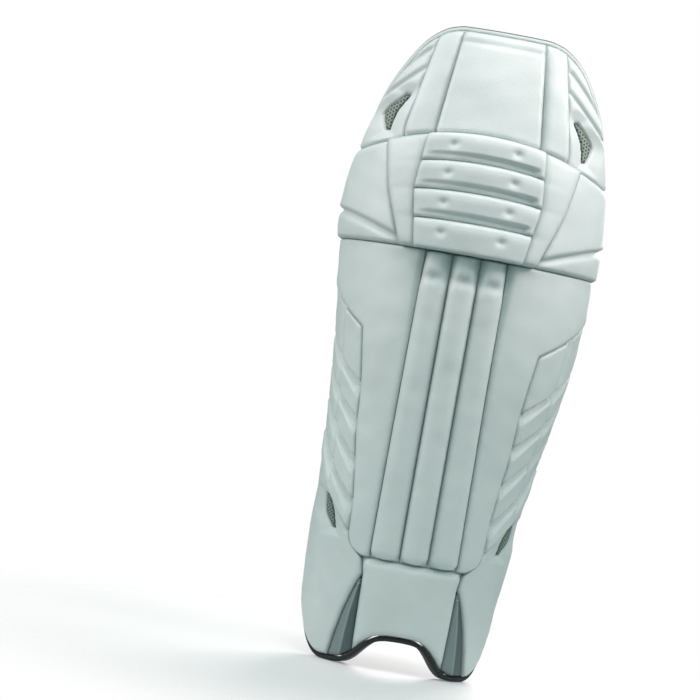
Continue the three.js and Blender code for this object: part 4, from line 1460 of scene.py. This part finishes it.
class PAD_OT_stitching(bpy.types.Operator):
    """Lay the thread: rows on the facing, on the bindings, and round the tabs"""
    bl_idname = "pad.stitching"
    bl_label = "Stitching"

    def execute(self, context):
        bm = bmesh.new()
        rows = [("top_panel", level_path(0.045)), ("instep_panel", level_path(0.955))]
        for _, word in as_sides():
            rows.append((f"top_roll_{word}", level_path(0.045)))
            rows.append((f"top_wing_{word}", level_path(0.045)))
            rows.append((f"knee_wing_{word}", level_path(0.03)))
            rows.append((f"knee_strip_{word}", level_path(0.03)))
            rows.append((f"shin_wing_{word}", upright_path(0.06 if word == "right" else 0.94)))
            rows.append((f"ankle_insert_{word}", level_path(0.93, 0.12, 0.88)))
            rows.append((f"ankle_wing_{word}", level_path(0.95)))
        for node, path in rows:
            stitch_row(bm, *facing_path(node, path, FACING_LIFT))
        add_piece(bm, "facing_thread", "tab_leather", look="thread_pale")
        bm = bmesh.new()
        stitch_row(bm, *facing_path("bottom_binding", level_path(0.5, 0.01, 0.99), TAPE_LIFT))
        for node in ("thigh_lining", "knee_cup"):
            stitch_row(bm, *facing_path(node, level_path(0.05), FACING_LIFT))
        add_piece(bm, "dark_thread", "tab_leather", look="thread_dark")
        bm = bmesh.new()
        for strap in STRAPS.values():
            stitch_row(bm, *self.tab_path(strap))
        add_piece(bm, "tab_thread", "tab_leather", look="thread_grey")
        return {"FINISHED"}

    def tab_path(self, strap):
        """Path of the stitches, a little inside the outline of a pull tab."""
        shares = tab_span(strap)
        t = np.linspace(0.02, 0.98, TAB_SAMPLES)
        reach = abs(strap.tip - strap.root) * t
        low, high = tab_lines(strap)(t)
        low = low + TAB_INSET * np.hypot(1, np.gradient(low, reach))
        high = high - TAB_INSET * np.hypot(1, np.gradient(high, reach))
        inside = high - low > TAB_LEAST
        t, low, high = t[inside], low[inside], high[inside]
        along = np.concatenate((t, t[::-1], t[:1]))
        z = np.concatenate((low, high[::-1], low[:1]))
        place = np.linspace(0, 1, len(along))

        def sample(at, lift):
            return strap_points(shares(np.interp(at, place, along)), np.interp(at, place, z), lift)

        top = TAB_BACK + TAB_THICK + TAPE_LIFT
        at = even_steps(sample(place, top), STITCH_PITCH * MM)
        return sample(at, top), sample(at, top + OUTWARDS) - sample(at, top)


class Tree:
    """Small helper that adds nodes to a tree and links them."""

    def __init__(self, tree):
        self.tree = tree

    def node(self, kind, values=None, **settings):
        node = self.tree.nodes.new(kind)
        for name, value in settings.items():
            setattr(node, name, value)
        for socket, value in (values or {}).items():
            if isinstance(value, bpy.types.NodeSocket):
                self.link(value, node.inputs[socket])
            else:
                node.inputs[socket].default_value = value
        return node

    def link(self, value, socket):
        self.tree.links.new(value, socket)

    def math(self, operation, first, second=0.0, clamp=False):
        sockets = {0: first, 1: second}
        return self.node("ShaderNodeMath", sockets, operation=operation, use_clamp=clamp).outputs[0]

    def vary(self, value, low, high):
        """Carries a value from the span 0 to 1 into another span."""
        sockets = {"Value": value, "To Min": low, "To Max": high}
        return self.node("ShaderNodeMapRange", sockets).outputs["Result"]

    def window(self, value, low, high, to_low=0.0, to_high=1.0):
        """Carries a value smoothly from one span into another."""
        sockets = {"Value": value, "From Min": low, "From Max": high, "To Min": to_low, "To Max": to_high}
        return self.node("ShaderNodeMapRange", sockets, interpolation_type="SMOOTHSTEP").outputs["Result"]

    def mix(self, share, first, second):
        node = self.node("ShaderNodeMix", {0: share, 6: first, 7: second}, data_type="RGBA")
        return node.outputs[2]

    def noise(self, vector, scale, detail=3.0, roughness=0.55):
        sockets = {"Vector": vector, "Scale": scale, "Detail": detail, "Roughness": roughness}
        return self.node("ShaderNodeTexNoise", sockets).outputs["Fac"]


def new_group(name, inputs, outputs):
    """Shader node group with its named sockets; gives the tree helper, its input and its output."""
    group = bpy.data.node_groups.new(name, "ShaderNodeTree")
    for label, kind, default in inputs:
        socket = group.interface.new_socket(label, in_out="INPUT", socket_type=kind)
        if default is not None:
            socket.default_value = default
    for label in outputs:
        group.interface.new_socket(label, in_out="OUTPUT", socket_type="NodeSocketFloat")
    tree = Tree(group)
    return tree, tree.node("NodeGroupInput").outputs, tree.node("NodeGroupOutput").inputs


VECTOR = ("Vector", "NodeSocketVector", None)


def make_hide(name):
    """Pebbled grain of coated leather, with slow mottling and rubbed patches."""
    tree, given, out = new_group(
        name,
        (VECTOR, ("Pebbles", "NodeSocketFloat", 800.0)),
        ("Height", "Mottle", "Rubbed"),
    )
    cells = tree.node("ShaderNodeTexVoronoi", {"Vector": given["Vector"], "Scale": given["Pebbles"]})
    bead = tree.window(cells.outputs["Distance"], 0.1, 0.75, 1.0, 0.0)
    crease = tree.noise(given["Vector"], 260.0, 4.0)
    fine = tree.noise(given["Vector"], 2600.0, 2.0)
    height = tree.math("ADD", tree.math("MULTIPLY", bead, 0.6), tree.math("MULTIPLY", crease, 0.5))
    height = tree.math("ADD", height, tree.math("MULTIPLY", fine, 0.25))
    tree.link(height, out["Height"])
    tree.link(tree.noise(given["Vector"], 16.0, 5.0), out["Mottle"])
    tree.link(tree.window(tree.noise(given["Vector"], 48.0, 8.0, 0.7), 0.56, 0.72), out["Rubbed"])
    return tree.tree


def make_weave(name):
    """Plain weave of crossing threads on the cut of the cloth."""
    tree, given, out = new_group(
        name,
        (VECTOR, ("Pitch", "NodeSocketFloat", 0.0016), ("Stretch", "NodeSocketFloat", 1.0)),
        ("Height", "Threads"),
    )
    part = tree.node("ShaderNodeSeparateXYZ", {"Vector": given["Vector"]}).outputs
    turn_u = tree.math("DIVIDE", tree.math("MULTIPLY", part["X"], 2 * math.pi), given["Pitch"])
    turn_v = tree.math("DIVIDE", tree.math("MULTIPLY", part["Y"], 2 * math.pi), given["Pitch"])
    turn_v = tree.math("MULTIPLY", turn_v, given["Stretch"])
    cross = tree.math("MULTIPLY", tree.math("SINE", turn_u), tree.math("SINE", turn_v))
    fuzz = tree.noise(given["Vector"], 3200.0, 2.0)
    height = tree.math("ADD", tree.vary(cross, 0.4, 0.8), tree.math("MULTIPLY", fuzz, 0.35))
    tree.link(height, out["Height"])
    tree.link(tree.window(cross, -0.5, 0.6), out["Threads"])
    return tree.tree


def make_eyelets(name):
    """Close rows of small eyelets, as in spacer mesh."""
    tree, given, out = new_group(name, (VECTOR, ("Pitch", "NodeSocketFloat", 0.003)), ("Height", "Eyelets"))
    part = tree.node("ShaderNodeSeparateXYZ", {"Vector": given["Vector"]}).outputs
    total = None
    for lean_u, lean_v in ((1.0, 0.0), (0.5, 0.866), (-0.5, 0.866)):
        way = tree.math("ADD", tree.math("MULTIPLY", part["X"], lean_u * 2 * math.pi),
                        tree.math("MULTIPLY", part["Y"], lean_v * 2 * math.pi))
        wave = tree.math("COSINE", tree.math("DIVIDE", way, given["Pitch"]))
        total = wave if total is None else tree.math("ADD", total, wave)
    eyelets = tree.window(total, 0.2, 1.5)
    fuzz = tree.noise(given["Vector"], 2600.0, 2.0)
    height = tree.math("ADD", tree.vary(eyelets, 0.8, 0.0), tree.math("MULTIPLY", fuzz, 0.25))
    tree.link(height, out["Height"])
    tree.link(eyelets, out["Eyelets"])
    return tree.tree


def make_seam_shade_and_dirt(name):
    """Painted shade in the seams and creases, with some dirt, broken up unevenly."""
    tree, given, out = new_group(name, (VECTOR, ("Seam", "NodeSocketFloat", 0.0)), ("Shade",))
    broken = tree.vary(tree.noise(given["Vector"], 60.0, 5.0), 0.72, 1.12)
    deep = tree.math("POWER", given["Seam"], 1.15)
    tree.link(tree.math("MULTIPLY", deep, broken, clamp=True), out["Shade"])
    return tree.tree


class Finish:
    """Material under way: its tree, its shader and the coordinates its patterns read."""

    def __init__(self, name):
        self.material = bpy.data.materials.new(name)
        self.material.use_nodes = True
        self.tree = Tree(self.material.node_tree)
        self.shader = self.material.node_tree.nodes["Principled BSDF"]
        self.place = self.tree.node("ShaderNodeTexCoord").outputs["Object"]
        self.cut = self.tree.node("ShaderNodeUVMap", uv_map="cut").outputs["UV"]

    def attribute(self, name):
        return self.tree.node("ShaderNodeAttribute", attribute_name=name).outputs["Fac"]

    def effect(self, name, make, values):
        """Outputs of a node group, which is made the first time it is asked for."""
        group = bpy.data.node_groups.get(name) or make(name)
        return self.tree.node("ShaderNodeGroup", values, node_tree=group).outputs

    def seam_shade(self):
        # Mask of the painted shade in the seams and creases, with some dirt
        values = {"Vector": self.place, "Seam": self.attribute("seam")}
        return self.effect("Seam dirt", make_seam_shade_and_dirt, values)["Shade"]

    def paint(self, body, seam_shade):
        """Gives the shader its colour, with painted shade and some dirt in the seams."""
        self.feed("Base Color", self.tree.mix(self.seam_shade(), body, seam_shade))

    def set(self, **constants):
        for name, value in constants.items():
            self.shader.inputs[name.replace("_", " ")].default_value = value

    def feed(self, socket, value):
        self.tree.link(value, self.shader.inputs[socket])

    def bump(self, height, depth):
        sockets = {"Height": height, "Strength": 1.0, "Distance": depth}
        self.feed("Normal", self.tree.node("ShaderNodeBump", sockets).outputs["Normal"])


def colour(name):
    """Colour of the panel, by its name."""
    return (*getattr(bpy.context.scene.pad_colours, name), 1.0)


def darker(shade, share):
    """Shade at a share of its strength."""
    return (shade[0] * share, shade[1] * share, shade[2] * share, 1.0)


# Shades that the panel doesn't list
RIDGE_HIGHLIGHT = (0.62, 0.65, 0.67, 1)
WORN_INSERT = (0.3, 0.33, 0.36, 1)
# INSERT_SEAM, SLATE_SEAM, BINDING_SEAM, ELASTIC_SEAM, WEBBING_SEAM and THIGH_SEAM colour the painted shade
# in the seams, which also stands for some dirt
INSERT_SEAM = (0.06, 0.07, 0.08, 1)
SLATE_SEAM = (0.01, 0.012, 0.016, 1)
BINDING_SEAM = (0.006, 0.006, 0.007, 1)
ELASTIC_SEAM = (0.004, 0.004, 0.005, 1)
WEBBING_SEAM = (0.02, 0.02, 0.022, 1)
WHITE_LINE = (0.7, 0.71, 0.7, 1)
THIGH_DUST = (0.2, 0.21, 0.22, 1)
THIGH_SEAM = (0.03, 0.032, 0.036, 1)
PLASTIC = (0.012, 0.012, 0.013, 1)
RUBBED_PLASTIC = (0.03, 0.03, 0.032, 1)
STEEL = (0.5, 0.51, 0.52, 1)
BRIGHT_STEEL = (0.72, 0.72, 0.71, 1)
PALE_THREAD = (0.74, 0.78, 0.78, 1)
DARK_THREAD = (0.03, 0.032, 0.035, 1)
GREY_THREAD = (0.42, 0.44, 0.45, 1)


def leather(name, shade, seam_shade, pebbles, rough, depth):
    """Coated leather: pebbled, mottled, darker in its seams from painted shade and some dirt, and rubbed
    smooth in places.
    """
    made = Finish(name)
    tree = made.tree
    hide = made.effect("Hide", make_hide, {"Vector": made.place, "Pebbles": pebbles})
    body = tree.mix(tree.window(hide["Mottle"], 0.3, 0.7), darker(shade, 0.93), shade)
    body = tree.mix(tree.math("MULTIPLY", hide["Rubbed"], 0.16), body, darker(shade, 0.82))
    made.paint(body, seam_shade)
    roughness = tree.math("SUBTRACT", tree.vary(hide["Mottle"], rough + 0.08, rough - 0.04),
                          tree.math("MULTIPLY", hide["Rubbed"], 0.08))
    made.feed("Roughness", roughness)
    made.bump(hide["Height"], depth)
    return made


def make_white_leather(name):
    made = leather(name, colour("leather"), colour("seam"), 820.0, 0.44, 0.00012)
    made.set(Coat_Weight=0.06, Coat_Roughness=0.35)
    return made.material


def make_tab_leather(name):
    made = leather(name, colour("leather"), colour("seam"), 1300.0, 0.4, 0.00008)
    return made.material


def make_black_leather(name):
    made = leather(name, colour("dark"), darker(colour("dark"), 0.4), 1000.0, 0.34, 0.0001)
    made.set(Coat_Weight=0.12, Coat_Roughness=0.3)
    return made.material


def make_grey_insert(name):
    """Coated cloth of one grey in two flats, painted lit and shaded, parted by a ridge with a painted
    highlight.
    """
    made = Finish(name)
    tree = made.tree
    hide = made.effect("Hide", make_hide, {"Vector": made.place, "Pebbles": 1100.0})
    tone = made.attribute("tone")
    # Painted light and shade: lit and shaded copies of one grey, by the way each flat faces
    body = tree.mix(tone, colour("insert_lit_grey"), colour("insert_shaded_grey"))
    # Painted highlight along the ridge between the two flats
    off_ridge = tree.math("ABSOLUTE", tree.math("SUBTRACT", tone, 0.5))
    body = tree.mix(tree.math("MULTIPLY", tree.window(off_ridge, 0.5, 0.1), 0.3), body, RIDGE_HIGHLIGHT)
    body = tree.mix(tree.math("MULTIPLY", hide["Rubbed"], 0.2), body, WORN_INSERT)
    made.paint(body, INSERT_SEAM)
    made.feed("Roughness", tree.vary(hide["Mottle"], 0.3, 0.48))
    made.bump(hide["Height"], 0.00008)
    made.set(Coat_Weight=0.2, Coat_Roughness=0.25)
    return made.material


def eyelet_cloth(name, shade, hole_shade, pitch, depth):
    """Spacer mesh: pale or dark threads round rows of eyelets."""
    made = Finish(name)
    tree = made.tree
    mesh = made.effect("Eyelets", make_eyelets, {"Vector": made.cut, "Pitch": pitch})
    uneven = tree.noise(made.place, 35.0, 4.0)
    body = tree.mix(tree.window(uneven, 0.3, 0.7), darker(shade, 0.84), shade)
    body = tree.mix(mesh["Eyelets"], body, hole_shade)
    body = tree.mix(made.attribute("tone"), body, colour("silver"))
    made.paint(body, darker(hole_shade, 0.8))
    made.feed("Roughness", tree.vary(mesh["Eyelets"], 0.5, 0.85))
    made.bump(mesh["Height"], depth)
    return made


def make_vent_mesh(name):
    return eyelet_cloth(name, colour("vent"), darker(colour("vent"), 0.18), 0.0033, 0.0008).material


def make_silver_mesh(name):
    made = eyelet_cloth(name, colour("silver"), darker(colour("silver"), 0.28), 0.0032, 0.0006)
    made.set(Metallic=0.25, Sheen_Weight=0.15)
    return made.material


def make_black_mesh(name):
    made = eyelet_cloth(name, colour("dark"), darker(colour("dark"), 0.25), 0.0042, 0.0007)
    made.set(Sheen_Weight=0.04, Sheen_Roughness=0.4)
    return made.material


def bare_cloth(name, pitch, stretch_by, depth):
    """Woven cloth that still has no colour, with its threads and its uneven patches."""
    made = Finish(name)
    weave = made.effect("Weave", make_weave, {"Vector": made.cut, "Pitch": pitch, "Stretch": stretch_by})
    uneven = made.tree.noise(made.place, 50.0, 4.0)
    made.feed("Roughness", made.tree.vary(uneven, 0.68, 0.88))
    made.bump(weave["Height"], depth)
    made.set(Sheen_Weight=0.2)
    return made, weave["Threads"], uneven


def woven(name, shade, thread_shade, pitch, stretch_by, depth):
    """Woven cloth or tape with two thread shades, and its colour."""
    made, threads, uneven = bare_cloth(name, pitch, stretch_by, depth)
    tree = made.tree
    body = tree.mix(threads, shade, thread_shade)
    faded = tree.math("MULTIPLY", tree.window(uneven, 0.35, 0.75), 0.3)
    return made, tree.mix(faded, body, darker(thread_shade, 1.35))


def make_slate_cloth(name):
    made, body = woven(name, darker(colour("slate"), 0.7), colour("slate"), 0.0018, 1.0, 0.0002)
    made.paint(body, SLATE_SEAM)
    return made.material


def make_trim_cloth(name):
    """Pale smooth cloth of the trims beside the mesh."""
    made, body = woven(name, darker(colour("silver"), 0.92), colour("silver"), 0.0012, 1.0, 0.0001)
    made.paint(body, darker(colour("silver"), 0.4))
    return made.material


def make_edge_binding(name):
    made, body = woven(name, darker(colour("binding"), 0.5), colour("binding"), 0.0013, 0.6, 0.0003)
    body = made.tree.mix(made.seam_shade(), body, BINDING_SEAM)
    made.feed("Base Color", made.tree.mix(made.attribute("tone"), body, darker(colour("leather"), 0.9)))
    return made.material


def make_strap_elastic(name):
    made, body = woven(name, darker(colour("elastic"), 0.5), colour("elastic"), 0.0024, 1.9, 0.0004)
    made.paint(body, ELASTIC_SEAM)
    made.set(Sheen_Weight=0.05)
    return made.material


# Pale line of the webbing, in millimetres: below its top, half its width by strap, and its soft edge
WHITE_LINE_DROP = 4.8
WHITE_LINES = {"knee": 1.8, "calf": 3.1, "ankle": 3.1}
WHITE_LINE_EDGE = 0.8
THIGH_BAND_EDGE = 0.0004


def make_strap_webbing(name):
    """Grey woven band with a pale line along its upper edge."""
    made, body = woven(name, darker(colour("webbing"), 0.1), darker(colour("webbing"), 1.15),
                       0.0032, 1.25, 0.0005)
    tree = made.tree
    height = tree.node("ShaderNodeSeparateXYZ", {"Vector": made.cut}).outputs["Y"]
    line = 0.0
    for word, strap in STRAPS.items():
        centre = (strap.high - WEB_MARGIN - WHITE_LINE_DROP) * MM
        near = tree.math("ABSOLUTE", tree.math("SUBTRACT", height, centre))
        half = WHITE_LINES[word] * MM
        line = tree.math("ADD", line, tree.window(near, half, half - WHITE_LINE_EDGE * MM), clamp=True)
    made.paint(tree.mix(line, body, WHITE_LINE), WEBBING_SEAM)
    return made.material


def make_thigh_cloth(name):
    """Cloth of upright bands: white centre, silver, a thin red line, black, and slate sides."""
    made = bare_cloth(name, 0.0016, 1.0, 0.00016)[0]
    tree = made.tree
    along = tree.math("ABSOLUTE", tree.node("ShaderNodeSeparateXYZ", {"Vector": made.cut}).outputs["X"])
    body = colour("leather")
    shades = (colour("silver"), colour("red_line"), colour("dark"), darker(colour("slate"), 1.9))
    for width, shade in zip(THIGH_BANDS, shades):
        edge = width * MM
        body = tree.mix(tree.window(along, edge - THIGH_BAND_EDGE, edge + THIGH_BAND_EDGE), body, shade)
    uneven = tree.window(tree.noise(made.place, 30.0, 5.0), 0.3, 0.75, 0.0, 0.18)
    made.paint(tree.mix(uneven, body, THIGH_DUST), THIGH_SEAM)
    return made.material


def make_buckle_plastic(name):
    """Moulded black plastic with a fine spark texture and handling marks."""
    made = Finish(name)
    tree = made.tree
    spark = tree.noise(made.place, 2200.0, 2.0)
    rubbed = tree.window(tree.noise(made.place, 220.0, 6.0, 0.65), 0.5, 0.7)
    made.feed("Base Color", tree.mix(rubbed, PLASTIC, RUBBED_PLASTIC))
    made.feed("Roughness", tree.vary(rubbed, 0.3, 0.46))
    made.bump(spark, 0.00004)
    return made.material


def make_buckle_steel(name):
    """Drawn steel bar with fine lines along it."""
    made = Finish(name)
    tree = made.tree
    drawn = tree.node("ShaderNodeMapping", {"Vector": made.place, "Scale": (4000, 4000, 120)}).outputs[0]
    lines = tree.noise(drawn, 1.0, 2.0)
    made.feed("Base Color", tree.mix(lines, STEEL, BRIGHT_STEEL))
    made.feed("Roughness", tree.vary(lines, 0.2, 0.36))
    made.bump(lines, 0.00002)
    made.set(Metallic=1.0)
    return made.material


def thread(name, shade):
    """Twisted sewing thread."""
    made = Finish(name)
    tree = made.tree
    sockets = {"Vector": made.place, "Scale": 900.0, "Distortion": 3.0}
    twist = tree.node("ShaderNodeTexWave", sockets).outputs["Fac"]
    made.feed("Base Color", tree.mix(twist, darker(shade, 0.75), shade))
    made.feed("Roughness", tree.vary(twist, 0.5, 0.7))
    made.bump(twist, 0.00005)
    return made.material


FINISHES = {
    "white_leather": make_white_leather,
    "grey_insert": make_grey_insert,
    "vent_mesh": make_vent_mesh,
    "edge_binding": make_edge_binding,
    "thigh_cloth": make_thigh_cloth,
    "silver_mesh": make_silver_mesh,
    "black_mesh": make_black_mesh,
    "slate_cloth": make_slate_cloth,
    "trim_cloth": make_trim_cloth,
    "black_leather": make_black_leather,
    "strap_elastic": make_strap_elastic,
    "strap_webbing": make_strap_webbing,
    "tab_leather": make_tab_leather,
    "buckle_plastic": make_buckle_plastic,
    "buckle_steel": make_buckle_steel,
    "thread_pale": lambda name: thread(name, PALE_THREAD),
    "thread_dark": lambda name: thread(name, DARK_THREAD),
    "thread_grey": lambda name: thread(name, GREY_THREAD),
}


def finish(slot):
    """Material of a slot, made the first time it is asked for."""
    name = "pad_" + slot
    return bpy.data.materials.get(name) or FINISHES[slot](name)


# Lamps: place and aim in metres, size in metres and spread in degrees
Lamp = namedtuple("Lamp", "at aim size spread")
LAMPS = {
    "top": Lamp((0.05, -0.6, 1.3), (0, -0.03, 0.62), 0.5, 60),
    "left": Lamp((-1.1, -0.35, 0.95), (0, 0, 0.55), 0.7, 70),
    "right": Lamp((0.8, -0.3, 1.1), (0.05, 0, 0.62), 0.5, 50),
    "back": Lamp((0.6, 2.0, 1.2), (0, 0, 0.35), 1.2, 180),
}
LAMP_TINT = (1.0, 0.92, 0.92)
SENSOR_WIDTH = 36
FLOOR_RADIUS = 1.6
FLOOR_SHADE = (0.95, 0.88, 0.89, 1)
SKY_TINT = (0.68, 0.99, 0.95, 1)
GROUND = (1, 1, 1, 1)


class PAD_OT_stage(bpy.types.Operator):
    """Make the pale floor, the soft studio light and the camera"""
    bl_idname = "pad.stage"
    bl_label = "Stage"

    def execute(self, context):
        stage = context.scene.pad_stage
        self.floor()
        self.world(context.scene, stage.sky)
        for word, lamp in LAMPS.items():
            self.lamp(word + "_light", lamp, getattr(stage, word + "_power"))
        self.camera(context.scene, stage)
        context.scene.view_settings.view_transform = "Standard"
        return {"FINISHED"}

    def camera(self, scene, stage):
        """Camera level with the pad and rolled as the photo has it."""
        data = bpy.data.cameras.new("photo_camera")
        data.lens = stage.lens
        data.sensor_width = SENSOR_WIDTH
        camera = bpy.data.objects.new("photo_camera", data)
        scene.collection.objects.link(camera)
        right = Vector((math.cos(stage.roll), 0, math.sin(stage.roll)))
        up = Vector((-math.sin(stage.roll), 0, math.cos(stage.roll)))
        turned = Matrix((right, up, right.cross(up))).transposed().to_4x4()
        camera.matrix_world = Matrix.Translation((stage.aim_x, -stage.distance, stage.aim_z)) @ turned
        scene.camera = camera

    def floor(self):
        """Round floor that fades out into the white ground."""
        bm = bmesh.new()
        bmesh.ops.create_circle(bm, cap_ends=True, cap_tris=False, segments=96, radius=FLOOR_RADIUS)
        mesh = bpy.data.meshes.new("floor")
        bm.to_mesh(mesh)
        bm.free()
        floor = bpy.data.objects.new("floor", mesh)
        bpy.context.scene.collection.objects.link(floor)
        material = bpy.data.materials.new("pale_floor")
        material.use_nodes = True
        tree = Tree(material.node_tree)
        shader = material.node_tree.nodes["Principled BSDF"]
        place = tree.node("ShaderNodeTexCoord").outputs["Object"]
        shader.inputs["Base Color"].default_value = FLOOR_SHADE
        away = tree.node("ShaderNodeVectorMath", {0: place}, operation="LENGTH").outputs["Value"]
        tree.link(tree.window(away, 0.15, 0.6, 0.8, 0.0), shader.inputs["Alpha"])
        tree.link(tree.vary(tree.noise(place, 9.0), 0.55, 0.7), shader.inputs["Roughness"])
        mesh.materials.append(material)

    def world(self, scene, sky):
        """White ground to the camera, and soft light that is stronger from above."""
        world = bpy.data.worlds.new("studio")
        world.use_nodes = True
        tree = Tree(world.node_tree)
        seen = tree.node("ShaderNodeLightPath").outputs["Is Camera Ray"]
        way = tree.node("ShaderNodeTexCoord").outputs["Generated"]
        height = tree.node("ShaderNodeSeparateXYZ", {"Vector": way}).outputs["Z"]
        soft = tree.window(height, -1.0, 1.0, 0.35 * sky, 1.65 * sky)
        ground = world.node_tree.nodes["Background"]
        tree.link(tree.mix(seen, SKY_TINT, GROUND), ground.inputs["Color"])
        tree.link(tree.vary(seen, soft, 1.0), ground.inputs["Strength"])
        scene.world = world

    def lamp(self, name, lamp, power):
        """Round area lamp, turned to its aim."""
        data = bpy.data.lights.new(name, "AREA")
        data.shape = "DISK"
        data.size = lamp.size
        data.energy = power
        data.color = LAMP_TINT
        data.spread = math.radians(lamp.spread)
        made = bpy.data.objects.new(name, data)
        bpy.context.scene.collection.objects.link(made)
        facing = (Vector(lamp.aim) - Vector(lamp.at)).to_track_quat("-Z", "Y")
        made.matrix_world = Matrix.Translation(lamp.at) @ facing.to_matrix().to_4x4()


def shade_prop(label, about, default):
    return FloatVectorProperty(name=label, description=about, default=default, size=3, min=0, max=1,
                               subtype="COLOR")


def number_prop(label, about, default, **kind):
    return FloatProperty(name=label, description=about, default=default, **kind)


class PadColours(bpy.types.PropertyGroup):
    """Colours of the pad's finishes"""
    leather: shade_prop("Leather", "White of the facing and the tabs", (0.80, 0.82, 0.815))
    # Seam colours the painted shade in the seams of the facing, which also stands for some dirt
    seam: shade_prop("Seam", "Shade that gathers in the seams of the facing", (0.48, 0.55, 0.54))
    # The two wedge shades are lit and shaded copies of one grey: painted light and shade
    insert_lit_grey: shade_prop("Light wedge", "Inner flat of the wedges", (0.25, 0.295, 0.3))
    insert_shaded_grey: shade_prop("Dark wedge", "Outer flat of the wedges", (0.1, 0.13, 0.135))
    vent: shade_prop("Vent", "Threads of the vents", (0.33, 0.385, 0.34))
    silver: shade_prop("Silver mesh", "Threads of the pale mesh", (0.56, 0.58, 0.59))
    dark: shade_prop("Black", "Bolsters and foot lining", (0.009, 0.009, 0.0105))
    slate: shade_prop("Slate", "Channel and sides of the thigh lining", (0.03, 0.042, 0.052))
    red_line: shade_prop("Red line", "Thin line of the thigh lining", (0.42, 0.02, 0.03))
    binding: shade_prop("Binding", "Tape round the edges", (0.03, 0.032, 0.036))
    elastic: shade_prop("Elastic", "Straps", (0.008, 0.008, 0.009))
    webbing: shade_prop("Webbing", "Bands on the straps", (0.12, 0.125, 0.128))


class PadSizes(bpy.types.PropertyGroup):
    """Padding under the covers"""
    swell: number_prop("Swell", "Furthest the padding may rise", 0.0025, unit="LENGTH")
    pressure: number_prop("Pressure", "Pressure of the padding", 4, min=0)
    slack: number_prop("Slack", "Share of spare cover", 0.001, min=0, subtype="FACTOR")


class PadStage(bpy.types.PropertyGroup):
    """Camera and light"""
    lens: number_prop("Lens", "Focal length", 120, subtype="DISTANCE_CAMERA")
    distance: number_prop("Distance", "Camera's distance", 2.489, unit="LENGTH")
    aim_x: number_prop("Across", "Camera's place across", -0.1064, unit="LENGTH")
    aim_z: number_prop("Height", "Camera's height", 0.3248, unit="LENGTH")
    roll: number_prop("Roll", "Camera's roll", math.radians(10.04), subtype="ANGLE")
    top_power: number_prop("Top", "Power of the lamp above", 0.53, unit="POWER")
    left_power: number_prop("Left", "Power of the left lamp", 1.2, unit="POWER")
    right_power: number_prop("Right", "Power of the right lamp", 0.75, unit="POWER")
    back_power: number_prop("Back", "Power of the rear lamp", 44, unit="POWER")
    sky: number_prop("Sky", "Strength of the even light", 0.37, min=0)


STEPS = (
    PAD_OT_stage,
    PAD_OT_top_flap,
    PAD_OT_knee_section,
    PAD_OT_canes,
    PAD_OT_shin_sides,
    PAD_OT_foot_end,
    PAD_OT_bindings,
    PAD_OT_upper_lining,
    PAD_OT_calf_lining,
    PAD_OT_foot_lining,
    PAD_OT_straps,
    PAD_OT_buckle,
    PAD_OT_padding,
    PAD_OT_stitching,
)


class PAD_PT_sidebar(bpy.types.Panel):
    """Panel that lists the colours, the stage and the steps"""
    bl_idname = "PAD_PT_sidebar"
    bl_label = "Batting pad"
    bl_space_type = "VIEW_3D"
    bl_region_type = "UI"
    bl_category = "Batting pad"

    def draw(self, context):
        for group in (context.scene.pad_colours, context.scene.pad_sizes, context.scene.pad_stage):
            for name in group.__annotations__:
                self.layout.prop(group, name)
        for step in STEPS:
            self.layout.operator(step.bl_idname)


CLASSES = (PadColours, PadSizes, PadStage, *STEPS, PAD_PT_sidebar)


def register():
    for made in CLASSES:
        bpy.utils.register_class(made)
    bpy.types.Scene.pad_colours = PointerProperty(type=PadColours)
    bpy.types.Scene.pad_sizes = PointerProperty(type=PadSizes)
    bpy.types.Scene.pad_stage = PointerProperty(type=PadStage)


def unregister():
    del bpy.types.Scene.pad_stage
    del bpy.types.Scene.pad_sizes
    del bpy.types.Scene.pad_colours
    for made in reversed(CLASSES):
        bpy.utils.unregister_class(made)


def main():
    register()
    bpy.ops.pad.stage()
    bpy.ops.pad.top_flap()
    bpy.ops.pad.knee_section()
    bpy.ops.pad.canes()
    bpy.ops.pad.shin_sides()
    bpy.ops.pad.foot_end()
    bpy.ops.pad.bindings()
    bpy.ops.pad.upper_lining()
    bpy.ops.pad.calf_lining()
    bpy.ops.pad.foot_lining()
    bpy.ops.pad.straps()
    bpy.ops.pad.buckle()
    bpy.ops.pad.padding()
    bpy.ops.pad.stitching()
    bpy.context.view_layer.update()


if __name__ == "__main__":
    main()
